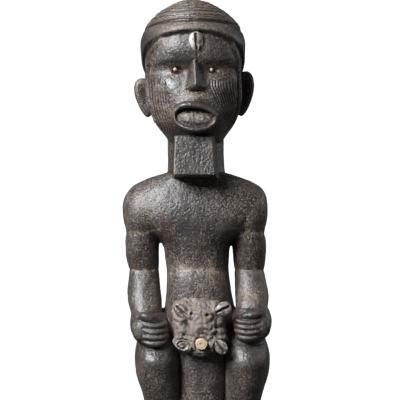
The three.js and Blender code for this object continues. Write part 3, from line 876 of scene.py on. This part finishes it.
    def thin(self, piece: bpy.types.Object) -> None:
        """Fewer triangles where the surface is broad and quiet, within the limit for one piece."""
        take(piece)
        triangles = sum(len(face.vertices) - 2 for face in piece.data.polygons)
        apply_modifier(piece, "DECIMATE", ratio=min(1.0, FIGURE_FACES / triangles), use_collapse_triangulate=True)

    def mark_surface(self, piece: bpy.types.Object) -> None:
        """Stores where the wood is hollow, polished, crusted or cut, and where shade is painted on, for its finish."""
        points = points_of(piece)
        normals = normals_of(piece)
        x, y, z = points.T
        fine = smoothed(piece, points, 8, 0.6)
        broad = smoothed(piece, points, 60, 0.6)
        # How far the surface sinks, finely and broadly: the finish paints shade dark into the sunk parts and lightens
        # the raised ones as wear.
        mark(piece, "groove", np.clip(np.sum((fine - points) * normals, axis=1) / 0.35, -1, 1))
        mark(piece, "hollow", np.clip(np.sum((broad - points) * normals, axis=1) / 2.2, -1, 1))
        front = ease(-5, 15, -y)
        crust = np.full(len(points), 0.3)
        for patch in DUST:
            crust += front * patch.at(x, z)
        shine = sum(patch.at(x, z) for patch in SHINE) * front
        mark(piece, "crust", np.clip(crust + 0.25 * value_noise(points, 16, 41), 0, 1))
        mark(piece, "polish", np.clip(shine, 0, 1))
        mark(piece, "red", np.clip(sum(patch.at(x, z) for patch in RED_BROWN) * front, 0, 1))
        # Painted shade: the patches darkened where shade falls.
        mark(piece, "painted_shade", np.clip(sum(patch.at(x, z) for patch in PAINTED_SHADE) * front, 0, 0.9))
        mark(piece, "crease", np.clip(self.creases(points), 0, 1))
        line, zone = self.striations(points)
        ribs = self.ribs(points)
        # The cheek lines and the cap's rib grooves, which the finish paints dark as shade, with dust on the ridges
        # between them.
        mark(piece, "cut", 2 * line - zone + np.clip(-1.5 * ribs, -0.7, 1))

    def make(self, finish: bpy.types.Material) -> bpy.types.Object:
        """Builds, carves and dresses the figure.

        Args:
            finish: the wood.

        Returns:
            The finished piece.
        """
        piece = self.rough_out()
        self.softened(piece)
        self.carve(piece)
        self.thin(piece)
        self.mark_surface(piece)
        settle(piece)
        piece.data.materials.clear()
        piece.data.materials.append(finish)
        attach(piece, "root")
        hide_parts("carved_figure")
        return piece


# Finishes


class Shade:
    """Wires the nodes of one material."""

    def __init__(self, name: str) -> None:
        """Starts a material with a surface shader and object coordinates."""
        self.material = bpy.data.materials.new(name)
        self.material.use_nodes = True
        self.tree = self.material.node_tree
        self.surface = self.tree.nodes["Principled BSDF"]
        self.place = self.tree.nodes.new("ShaderNodeTexCoord").outputs["Object"]

    def node(self, kind: str, inputs: dict[str | int, object], **settings: object) -> bpy.types.Node:
        """A node of a kind with its settings, and values or links on its inputs."""
        made = self.tree.nodes.new(kind)
        for name, value in settings.items():
            setattr(made, name, value)
        for key, value in inputs.items():
            if isinstance(value, bpy.types.NodeSocket):
                self.tree.links.new(value, made.inputs[key])
            else:
                made.inputs[key].default_value = value
        return made

    def stretched(self, scale: Spot) -> bpy.types.NodeSocket:
        """Object coordinates drawn out along an axis."""
        return self.node("ShaderNodeMapping", {"Vector": self.place, "Scale": scale}).outputs["Vector"]

    def noise(self, scale: float, detail: float = 3, rough: float = 0.55,
              vector: bpy.types.NodeSocket | None = None) -> bpy.types.NodeSocket:
        """Cloudy noise with features 1/scale metres across."""
        inputs = {"Vector": vector or self.place, "Scale": scale, "Detail": detail, "Roughness": rough}
        return self.node("ShaderNodeTexNoise", inputs).outputs["Fac"]

    def cells(self, scale: float, randomness: float = 1.0) -> bpy.types.NodeSocket:
        """Distance to the nearest of many scattered points."""
        return self.node("ShaderNodeTexVoronoi", {"Vector": self.place, "Scale": scale,
                                                  "Randomness": randomness}).outputs["Distance"]

    def mark(self, name: str) -> bpy.types.NodeSocket:
        """A number stored on the mesh."""
        return self.node("ShaderNodeAttribute", {}, attribute_name=name).outputs["Fac"]

    def span(self, value: bpy.types.NodeSocket, low: float, high: float, to_low: float = 0,
             to_high: float = 1) -> bpy.types.NodeSocket:
        """A value brought from one range to another, and held inside it."""
        inputs = {"Value": value, "From Min": low, "From Max": high, "To Min": to_low, "To Max": to_high}
        return self.node("ShaderNodeMapRange", inputs, clamp=True).outputs["Result"]

    def sum(self, operation: str, first: object, second: object) -> bpy.types.NodeSocket:
        """One sum of two values, such as ADD or MULTIPLY."""
        return self.node("ShaderNodeMath", {0: first, 1: second}, operation=operation).outputs[0]

    def mix(self, share: object, first: object, second: object, way: str = "MIX") -> bpy.types.NodeSocket:
        """Two colours mixed by a share."""
        made = self.node("ShaderNodeMix", {0: share}, data_type="RGBA", blend_type=way)
        for key, value in ((6, first), (7, second)):
            if isinstance(value, bpy.types.NodeSocket):
                self.tree.links.new(value, made.inputs[key])
            else:
                made.inputs[key].default_value = (*value, 1)
        return made.outputs[2]

    def relief(self, height: bpy.types.NodeSocket, depth_mm: float, strength: float = 1,
               under: bpy.types.NodeSocket | None = None) -> bpy.types.NodeSocket:
        """Bump of a depth, laid over another bump if there is one."""
        inputs = {"Height": height, "Distance": depth_mm * MM, "Strength": strength}
        if under:
            inputs["Normal"] = under
        return self.node("ShaderNodeBump", inputs).outputs["Normal"]

    def finish(self, colour: bpy.types.NodeSocket, rough: bpy.types.NodeSocket | float,
               normal: bpy.types.NodeSocket) -> bpy.types.Material:
        """Puts colour, roughness and relief on the surface shader."""
        for key, value in (("Base Color", colour), ("Roughness", rough), ("Normal", normal)):
            if isinstance(value, bpy.types.NodeSocket):
                self.tree.links.new(value, self.surface.inputs[key])
            else:
                self.surface.inputs[key].default_value = value
        return self.material


@dataclass(frozen=True)
class OldWood:
    """Dark carved wood: a handled satin patina, ochre dust in its pores and red-brown spots in its deeper corners,
    with painted shade, mixed with some grime, darkening its hollows, grooves, cut lines and shaded patches.
    """

    dark: Spot = (0.013, 0.0105, 0.0105)
    brown: Spot = (0.055, 0.042, 0.036)
    dust: Spot = (0.25, 0.2, 0.15)
    # Painted shade, with some grime: the dark red-brown laid into hollows, grooves, cut lines and shaded patches.
    shade_and_grime: Spot = (0.018, 0.0085, 0.006)
    red: Spot = (0.075, 0.028, 0.016)
    worn: Spot = (0.09, 0.078, 0.074)

    def build(self) -> bpy.types.Material:
        """The finished material."""
        shade = Shade("old_wood")
        broad = shade.noise(60, 3, 0.6)
        grain = shade.noise(300, 3, 0.6, shade.stretched((1, 1, 0.22)))
        speck = shade.noise(760, 2, 0.7)
        coarse = shade.noise(170, 3, 0.65)
        pebbles = shade.cells(300)
        polish = shade.mark("polish")
        colour = shade.mix(shade.span(broad, 0.3, 0.7), self.dark, self.brown)
        colour = shade.mix(shade.span(grain, 0.5, 0.65, 0, 0.5), colour, self.dark)
        lift = shade.sum("MULTIPLY", shade.mark("crust"), 0.14)
        lift = shade.sum("SUBTRACT", lift, shade.sum("MULTIPLY", polish, 0.22))
        lift = shade.sum("ADD", lift, shade.sum("MULTIPLY", coarse, 0.25))
        dusty = shade.span(shade.sum("ADD", speck, lift), 0.69, 0.81, 0, 0.85)
        pitted = shade.span(speck, 0.45, 0.36, 0, 0.8)
        colour = shade.mix(dusty, colour, self.dust)
        colour = shade.mix(pitted, colour, self.dark)
        # Painted shade, with some grime: broad hollows and fine grooves are darkened.
        colour = shade.mix(shade.span(shade.mark("hollow"), 0.15, 0.9, 0, 0.75), colour, self.shade_and_grime)
        colour = shade.mix(shade.span(shade.mark("groove"), 0.25, 0.9, 0, 0.75), colour, self.shade_and_grime)
        # Painted shade: the patches where shade falls are darkened.
        colour = shade.mix(shade.mark("painted_shade"), colour, self.shade_and_grime)
        colour = shade.mix(shade.sum("MULTIPLY", shade.mark("red"), shade.span(speck, 0.4, 0.55)), colour, self.red)
        streak = shade.sum("MULTIPLY", shade.mark("crease"), shade.span(coarse, 0.42, 0.56))
        colour = shade.mix(streak, colour, self.dust)
        ridges = shade.sum("MULTIPLY", shade.span(shade.mark("cut"), -0.1, -0.8, 0, 0.85), shade.span(speck, 0.4, 0.6))
        colour = shade.mix(ridges, colour, self.dust)
        # Painted shade in the cut lines of the cheeks and the grooves between the cap's ribs.
        colour = shade.mix(shade.span(shade.mark("cut"), 0.0, 0.7, 0, 0.92), colour, self.shade_and_grime)
        colour = shade.mix(shade.span(shade.mark("groove"), -0.3, -0.9, 0, 0.3), colour, self.worn)
        rough = shade.span(dusty, 0, 0.85, 0.43, 0.72)
        rough = shade.sum("SUBTRACT", rough, shade.sum("MULTIPLY", polish, 0.1))
        normal = shade.relief(coarse, 0.55, 0.5)
        normal = shade.relief(grain, 0.5, 0.5, normal)
        normal = shade.relief(shade.span(pebbles, 0.0, 0.55), 0.5, 0.6, normal)
        normal = shade.relief(speck, 0.5, 0.7, normal)
        shade.surface.inputs["Specular IOR Level"].default_value = 0.65
        shade.surface.inputs["Coat Weight"].default_value = 0.1
        shade.surface.inputs["Coat Roughness"].default_value = 0.28
        return shade.finish(colour, rough, normal)


@dataclass(frozen=True)
class HardEarth:
    """Crusted earth and resin: matt, mottled ochre, grey and dark brown."""

    grey: Spot = (0.2, 0.175, 0.155)
    ochre: Spot = (0.33, 0.26, 0.17)
    dark: Spot = (0.055, 0.04, 0.032)
    purple: Spot = (0.11, 0.085, 0.085)

    def build(self) -> bpy.types.Material:
        """The finished material."""
        shade = Shade("hard_earth")
        broad = shade.noise(90, 4)
        fine = shade.noise(480, 5, 0.7)
        colour = shade.mix(shade.span(broad, 0.35, 0.65), self.grey, self.purple)
        colour = shade.mix(shade.span(fine, 0.5, 0.66, 0, 0.8), colour, self.ochre)
        colour = shade.mix(shade.span(fine, 0.46, 0.3, 0, 0.85), colour, self.dark)
        # Painted shade: the crust's hollows are darkened, and its raised parts are mixed toward ochre.
        colour = shade.mix(shade.span(shade.mark("hollow"), 0.15, 0.9, 0, 0.8), colour, self.dark)
        colour = shade.mix(shade.span(shade.mark("hollow"), -0.2, -0.9, 0, 0.35), colour, self.ochre)
        normal = shade.relief(shade.noise(200, 3), 0.9, 0.6)
        normal = shade.relief(fine, 0.6, 0.8, normal)
        return shade.finish(colour, shade.span(fine, 0.3, 0.7, 0.5, 0.85), normal)


@dataclass(frozen=True)
class WornShell:
    """Cowrie shell gone grey, with soil in its slit and bare white edges."""

    name: str = "worn_shell"
    grey: Spot = (0.24, 0.22, 0.195)
    brown: Spot = (0.13, 0.105, 0.085)
    white: Spot = (0.58, 0.55, 0.5)
    soil: Spot = (0.06, 0.045, 0.035)

    def build(self) -> bpy.types.Material:
        """The finished material."""
        shade = Shade(self.name)
        cloud = shade.noise(260, 4, 0.65)
        fine = shade.noise(900, 3, 0.65)
        white = shade.sum("MULTIPLY", shade.mark("bare"), shade.span(cloud, 0.36, 0.46))
        colour = shade.mix(shade.span(fine, 0.4, 0.6), self.grey, self.brown)
        colour = shade.mix(white, colour, self.white)
        muddy = shade.sum("ADD", cloud, shade.sum("MULTIPLY", shade.mark("dirt"), 0.2))
        colour = shade.mix(shade.span(muddy, 0.6, 0.68, 0, 0.85), colour, self.soil)
        colour = shade.mix(shade.mark("slit"), colour, self.soil)
        normal = shade.relief(cloud, 0.35, 0.5)
        normal = shade.relief(fine, 0.2, 0.6, normal)
        shade.surface.inputs["Specular IOR Level"].default_value = 0.6
        return shade.finish(colour, shade.span(cloud, 0.3, 0.7, 0.28, 0.6), normal)


@dataclass(frozen=True)
class OldBone:
    """Creamy shell or bone, darker and rougher in its lines."""

    cream: Spot = (0.52, 0.44, 0.33)
    amber: Spot = (0.36, 0.24, 0.12)

    def build(self) -> bpy.types.Material:
        """The finished material."""
        shade = Shade("old_bone")
        cloud = shade.noise(420, 4)
        colour = shade.mix(shade.span(cloud, 0.4, 0.72, 0, 0.6), self.cream, self.amber)
        colour = shade.mix(shade.mark("slit"), colour, self.amber)
        normal = shade.relief(cloud, 0.25, 0.5)
        return shade.finish(colour, shade.span(cloud, 0.3, 0.7, 0.35, 0.6), normal)


# The packet, the shells, the disc and the pegs


class ShellState(Enum):
    """How a cowrie has come down to us."""

    WHOLE = "whole"
    SPLIT = "split"
    BROKEN = "broken"


@dataclass(frozen=True)
class Cowrie:
    """A cowrie set with its toothed side out.

    Its turn is 0 where the slit lies level, and a quarter turn stands it up.
    """

    node: str
    x: float
    y: float
    z: float
    turn: float
    size: float
    state: ShellState = ShellState.WHOLE
    bare_side: float = 0.0
    dirt: float = 0.5

    def make(self, finish: bpy.types.Material) -> bpy.types.Object:
        """Builds and dresses the shell.

        Args:
            finish: the worn shell.

        Returns:
            The finished piece.
        """
        length, width, height = 18.5 * self.size, 13.5 * self.size, 8.5 * self.size
        leave_selection()
        bpy.ops.mesh.primitive_uv_sphere_add(segments=80, ring_count=72, radius=1)
        shell = bpy.context.object
        shell.data.transform(Matrix.Rotation(math.pi / 2, 4, "Y"))
        unit = points_of(shell)
        u, deep, v = unit.T
        facing = ease(0.0, 0.5, -deep)
        fat = 1 + 0.14 * u
        flat = np.where(deep < 0, 0.62 * deep, deep)
        gape = 0.07 + 0.05 * (1 - u * u)
        lip = np.abs(v) - gape
        slit = facing * (1 - ease(0.0, 0.1, lip)) * (1 - ease(0.74, 0.86, np.abs(u)))
        comb = 0.5 + 0.5 * np.cos(2 * math.pi * 6.5 * u)
        teeth = facing * hump(lip - 0.16, 0.14) * comb * (1 - ease(0.6, 0.8, np.abs(u)))
        flat = flat + 0.5 * slit + 0.055 * teeth - 0.1 * facing * hump(lip - 0.22, 0.2)
        bare = facing * ease(0.1, 0.7, self.bare_side * v) if self.bare_side else facing * hump(lip - 0.3, 0.12)
        if self.state is ShellState.BROKEN:
            reach = np.hypot(u, v)
            dish = facing * (1 - ease(0.62, 0.78, reach))
            whorl = 0.5 + 0.5 * np.cos(9.5 * reach + 1.2 * np.arctan2(v, u))
            flat = np.where(deep < 0, 0.62 * deep, deep) + dish * (0.55 - 0.22 * whorl)
            slit = dish * (1 - whorl) * 0.9
            bare = np.clip(hump(reach - 0.84, 0.12) * ease(-0.2, 0.5, -v) + 0.5 * dish * whorl, 0, 1)
        points = np.stack([u * length / 2, flat * height / 1.62, v * fat * width / 2], axis=1)
        rough = 0.16 + 0.3 * self.dirt
        if self.state is ShellState.SPLIT:
            wreck = ease(0.05, -0.25, u + 0.25 * v)
            slit *= 1 - wreck
            bare *= 1 - 0.6 * wreck
            rough = rough + 0.7 * wreck
        points[:, 1] += facing * rough * value_noise(points + 40, 2.2, 51)
        mark(shell, "dirt", np.full(len(points), self.dirt))
        mark(shell, "slit", np.clip(slit, 0, 1))
        mark(shell, "bare", np.clip(bare, 0, 1))
        spin = np.array(Matrix.Rotation(-self.turn, 3, "Y"))
        move_points(shell, points @ spin.T + (self.x, self.y, self.z))
        settle(face_out(shell))
        shell.name = "shell_" + self.node
        shell.data.materials.append(finish)
        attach(shell, "root")
        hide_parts(self.node)
        return shell


COWRIES = (
    Cowrie("forehead_cowrie", 3.4, -54.2, 456.5, 1.62, 1.08, ShellState.SPLIT, 1.0, 0.3),
    Cowrie("packet_cowrie_upper_right", -18.5, -48.4, 190.5, -0.8, 0.96, dirt=0.8),
    Cowrie("packet_cowrie_upper_left", 22.5, -47, 192, 0.45, 0.98, bare_side=-1.0, dirt=0.55),
    Cowrie("packet_cowrie_lower_right", -19, -49, 156.5, -0.25, 0.88, ShellState.BROKEN, dirt=0.6),
    Cowrie("packet_cowrie_lower_left", 18.5, -48.6, 155, -0.95, 0.9, bare_side=1.0, dirt=0.7),
)


@dataclass
class BellyPacket:
    """The pad of hardened earth that hugs the belly, with collars round its shells and disc."""

    x: float = -2
    z: float = 173
    half_width: float = 25.5
    reach: float = 30
    foot: tuple[tuple[float, float], ...] = (
        (-28, 156), (-22, 151), (-12, 148), (-5, 145), (4, 147), (11, 150), (24, 150))
    holes: tuple[tuple[float, float, float], ...] = (
        (-17.5, 166, 1.5), (-15.5, 160, 1.6), (-8.5, 187.5, 1.4), (6, 153, 1.6), (7, 186, 1.3), (14, 168, 1.4))
    lumps: tuple[Swell, ...] = (
        Swell(-1, 176, 11, 9, 3.2), Swell(-21, 173, 3, 12, 1.8), Swell(-14, 178, 2.4, 9, -3.2),
        Swell(22, 172, 2.6, 12, 2.0), Swell(16, 174, 2.6, 9, -2.2), Swell(0, 193, 6, 4, 1.8),
        Swell(-8, 167, 3, 3, 1.6), Swell(8, 165, 3, 3, 1.4), Swell(2, 150, 6, 3, 1.6), Swell(10, 190, 4, 3, 1.6))

    def relief(self, points: Array) -> Array:
        """How far the lumps, folds, collars and holes of the packet stand out or sink."""
        x, y, z = points.T
        front = ease(28, 40, -y)
        depth = 2.4 * (np.abs(value_noise(points, 8.5, 61)) - 0.3) + 1.7 * (np.abs(value_noise(points, 4.6, 62)) - 0.3)
        depth += 0.45 * value_noise(points, 2.0, 63)
        depth += front * sum(lump.at(x, z) for lump in self.lumps)
        for shell in COWRIES[1:]:
            away = np.hypot(x - shell.x, z - shell.z)
            depth += front * (1.7 * hump(away - 9.2 * shell.size, 2.0) - 1.0 * hump(away, 6))
        disc_away = np.hypot(x + 0.5, z - 158)
        depth += front * (1.3 * hump(disc_away - 7.8, 1.6) - 2.5 * hump(disc_away, 4.5))
        for hole_x, hole_z, size in self.holes:
            depth -= front * 4.0 * hump(np.hypot(x - hole_x, z - hole_z), size)
        return depth

    def make(self, finish: bpy.types.Material) -> bpy.types.Object:
        """Builds, roughens and dresses the packet.

        Args:
            finish: the hardened earth.

        Returns:
            The finished piece.
        """
        x, z, half, reach = self.x, self.z, self.half_width, self.reach
        pad = lofted([
            (z - 28, x, -20, half - 8, reach - 8, 4, 3),
            (z - 25, x, -20, half - 1.5, reach - 3, 4, 3.4),
            (z - 12, x, -20, half, reach - 0.5, 4, 3.8),
            (z + 4, x, -20, half - 0.5, reach + 0.5, 4, 3.8),
            (z + 20, x, -20, half, reach - 1, 4, 3.4),
            (z + 26, x, -20, half - 2, reach - 5, 4, 3),
            (z + 29, x, -20, half - 8, reach - 10, 4, 2.6),
        ])
        pad.name = "earth_belly_packet"
        fused(pad, 0.6)
        points = smoothed(pad, points_of(pad), 6, 0.5)
        low = z - 8
        share = np.clip((low - points[:, 2]) / (low - self.foot[3][1]), 0, 1.2)
        points[:, 2] += share * (along(self.foot, points[:, 0]) - self.foot[3][1])
        move_points(pad, points)
        points = points + normals_of(pad) * self.relief(points)[:, None]
        move_points(pad, points)
        normals = normals_of(pad)
        # How far the packet's surface sinks, which its finish paints darker as shade.
        broad = smoothed(pad, points, 14, 0.6)
        mark(pad, "hollow", np.clip(np.sum((broad - points) * normals, axis=1) / 0.7, -1, 1))
        settle(pad)
        pad.data.materials.clear()
        pad.data.materials.append(finish)
        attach(pad, "root")
        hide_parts("belly_packet")
        return pad


@dataclass
class ShellDisc:
    """The sawn top of a cone shell, with its spiral."""

    x: float = -0.5
    y: float = -52
    z: float = 158
    radius: float = 5.9
    thickness: float = 4.5

    def make(self, finish: bpy.types.Material) -> bpy.types.Object:
        """Builds and dresses the disc.

        Args:
            finish: the old bone.

        Returns:
            The finished piece.
        """
        leave_selection()
        bpy.ops.mesh.primitive_uv_sphere_add(segments=96, ring_count=64, radius=1)
        disc = bpy.context.object
        unit = points_of(disc)
        across = np.hypot(unit[:, 0], unit[:, 1])
        angle = np.arctan2(unit[:, 1], unit[:, 0])
        spread = (1 - np.clip(1 - across, 0, 1) ** 1.6) ** 0.62
        chip = 1 + 0.03 * np.sin(5 * angle + 0.7) + 0.02 * np.sin(11 * angle)
        side = np.sign(unit[:, 2]) * np.abs(unit[:, 2]) ** 0.35
        front = ease(0.2, 0.7, unit[:, 2])
        spiral = 0.5 + 0.5 * np.cos(2 * math.pi * 2.6 * spread - angle)
        rays = 0.5 + 0.5 * np.cos(17 * angle)
        relief = 0.5 * spiral + 0.12 * rays
        height = side * self.thickness / 2 - front * (0.55 * relief + 0.8 * hump(spread, 0.16))
        flat = np.stack([unit[:, 0] / np.maximum(across, 1e-6), unit[:, 1] / np.maximum(across, 1e-6)], axis=1)
        flat *= (self.radius * spread * chip)[:, None]
        points = np.stack([flat[:, 0] + self.x, self.y - height, flat[:, 1] + self.z], axis=1)
        mark(disc, "slit", np.clip(front * (0.7 * spiral**3 + hump(spread, 0.2)), 0, 1))
        move_points(disc, points)
        settle(face_out(disc))
        disc.name = "shell_packet_disc"
        disc.data.materials.append(finish)
        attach(disc, "root")
        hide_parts("packet_disc")
        return disc


@dataclass
class EyePegs:
    """The ivory-coloured pegs in the corners of the eyes."""

    x: float = 18
    z: float = 429
    radius: float = 1.9

    def make(self, finish: bpy.types.Material) -> list[bpy.types.Object]:
        """Builds and dresses both pegs.

        Args:
            finish: the old bone.

        Returns:
            The finished pieces.
        """
        pegs = []
        for side in Side:
            x = side.value * self.x
            peg = ball((x, on_face(x, self.z, 0.2), self.z), (self.radius, self.radius, self.radius), fine=40)
            points = points_of(peg)
            middle = points.mean(axis=0)
            points += 0.12 * value_noise(points, 1.4, 71)[:, None] * (points - middle)
            move_points(peg, points)
            away = np.hypot(*(points - middle)[:, [0, 2]].T) / self.radius
            mark(peg, "slit", ease(0.7, 1.0, away))
            settle(peg)
            name = side.name.lower()
            peg.name = "peg_eye_bead_" + name
            peg.data.materials.append(finish)
            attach(peg, "root")
            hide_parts("eye_bead_" + name)
            pegs.append(peg)
        return pegs


# The studio


@dataclass
class Studio:
    """A pale floor and backdrop, soft light from the upper left, and the photograph's camera."""

    view_x: float = -0.002
    view_z: float = 0.3
    view_width: float = 0.4
    distance: float = 4.0
    floor_radius: float = 3.0
    room: float = 9.0

    def plain(self, name: str, grey: float, glow: float) -> bpy.types.Material:
        """A matt pale material that may glow a little."""
        material = bpy.data.materials.new(name)
        material.use_nodes = True
        surface = material.node_tree.nodes["Principled BSDF"]
        surface.inputs["Base Color"].default_value = (grey, grey, grey, 1)
        surface.inputs["Roughness"].default_value = 0.9
        surface.inputs["Emission Color"].default_value = (1, 1, 1, 1)
        surface.inputs["Emission Strength"].default_value = glow
        return material

    def floor_and_backdrop(self) -> None:
        """A round floor as far as the key lights it well, and walls past where a camera stands."""
        leave_selection()
        bpy.ops.mesh.primitive_circle_add(vertices=96, radius=self.floor_radius, fill_type="NGON")
        self.staged("studio_floor", Matrix.Identity(4), 0.8)
        wall = Matrix.Translation((0, self.room, 2)) @ Matrix.Rotation(math.pi / 2, 4, "X")
        for i in range(4):
            leave_selection()
            bpy.ops.mesh.primitive_plane_add(size=2 * self.room)
            self.staged(f"studio_backdrop_{i}", Matrix.Rotation(i * math.pi / 2, 4, "Z") @ wall, 1.0)

    def staged(self, name: str, place: Matrix, glow: float) -> None:
        """Places and dresses the sheet just added, which throws no light or shadow on the figure."""
        sheet = bpy.context.object
        sheet.name = name
        sheet.data.transform(place)
        sheet.data.materials.append(self.plain(name, 0.8, glow))
        sheet.visible_diffuse = sheet.visible_glossy = sheet.visible_shadow = False

    def lamp(self, name: str, place: Spot, size: float, power: float, colour: Spot) -> None:
        """A square soft lamp that looks at the figure's chest."""
        data = bpy.data.lights.new(name, "AREA")
        data.size = size
        data.energy = power
        data.color = colour
        lamp = bpy.data.objects.new(name, data)
        bpy.context.scene.collection.objects.link(lamp)
        lamp.location = place
        lamp.rotation_euler = (Vector((0, 0, 0.33)) - Vector(place)).to_track_quat("-Z", "Y").to_euler()

    def light(self) -> None:
        """The window-like key from the upper left, a weak rim lamp from behind on the right, and pale air all round.
        """
        self.lamp("key", (-1.5, -1.6, 1.8), 1.4, 175, (0.95, 0.97, 1.0))
        self.lamp("rim", (1.9, 0.9, 0.9), 0.8, 6, (0.95, 0.97, 1.0))
        world = bpy.data.worlds.new("pale_air")
        bpy.context.scene.world = world
        world.use_nodes = True
        world.node_tree.nodes["Background"].inputs["Color"].default_value = (0.95, 0.97, 1.0, 1)
        world.node_tree.nodes["Background"].inputs["Strength"].default_value = 0.08

    def camera(self) -> None:
        """A long lens, level with the middle of the frame."""
        data = bpy.data.cameras.new("camera")
        data.lens = data.sensor_width * self.distance / self.view_width
        camera = bpy.data.objects.new("camera", data)
        bpy.context.scene.collection.objects.link(camera)
        camera.location = (self.view_x, -self.distance, self.view_z)
        camera.rotation_euler = (math.pi / 2, 0, 0)
        bpy.context.scene.camera = camera

    def make(self) -> None:
        """Sets up the whole studio."""
        self.floor_and_backdrop()
        self.light()
        self.camera()
        bpy.context.scene.view_settings.view_transform = "Standard"


def main() -> None:
    """Builds the studio and every piece, in order, and reports each one."""
    logging.basicConfig(level=logging.INFO, format="%(name)s: %(message)s")
    Studio().make()
    shell = WornShell().build()
    bone = OldBone().build()
    pieces = [CarvedFigure().make(OldWood().build()), BellyPacket().make(HardEarth().build())]
    pieces += [cowrie.make(shell) for cowrie in COWRIES]
    pieces += [ShellDisc().make(bone), *EyePegs().make(bone)]
    for piece in pieces:
        triangles = sum(len(face.vertices) - 2 for face in piece.data.polygons)
        log.info("%s has %d triangles", piece.name, triangles)


if __name__ == "__main__":
    main()
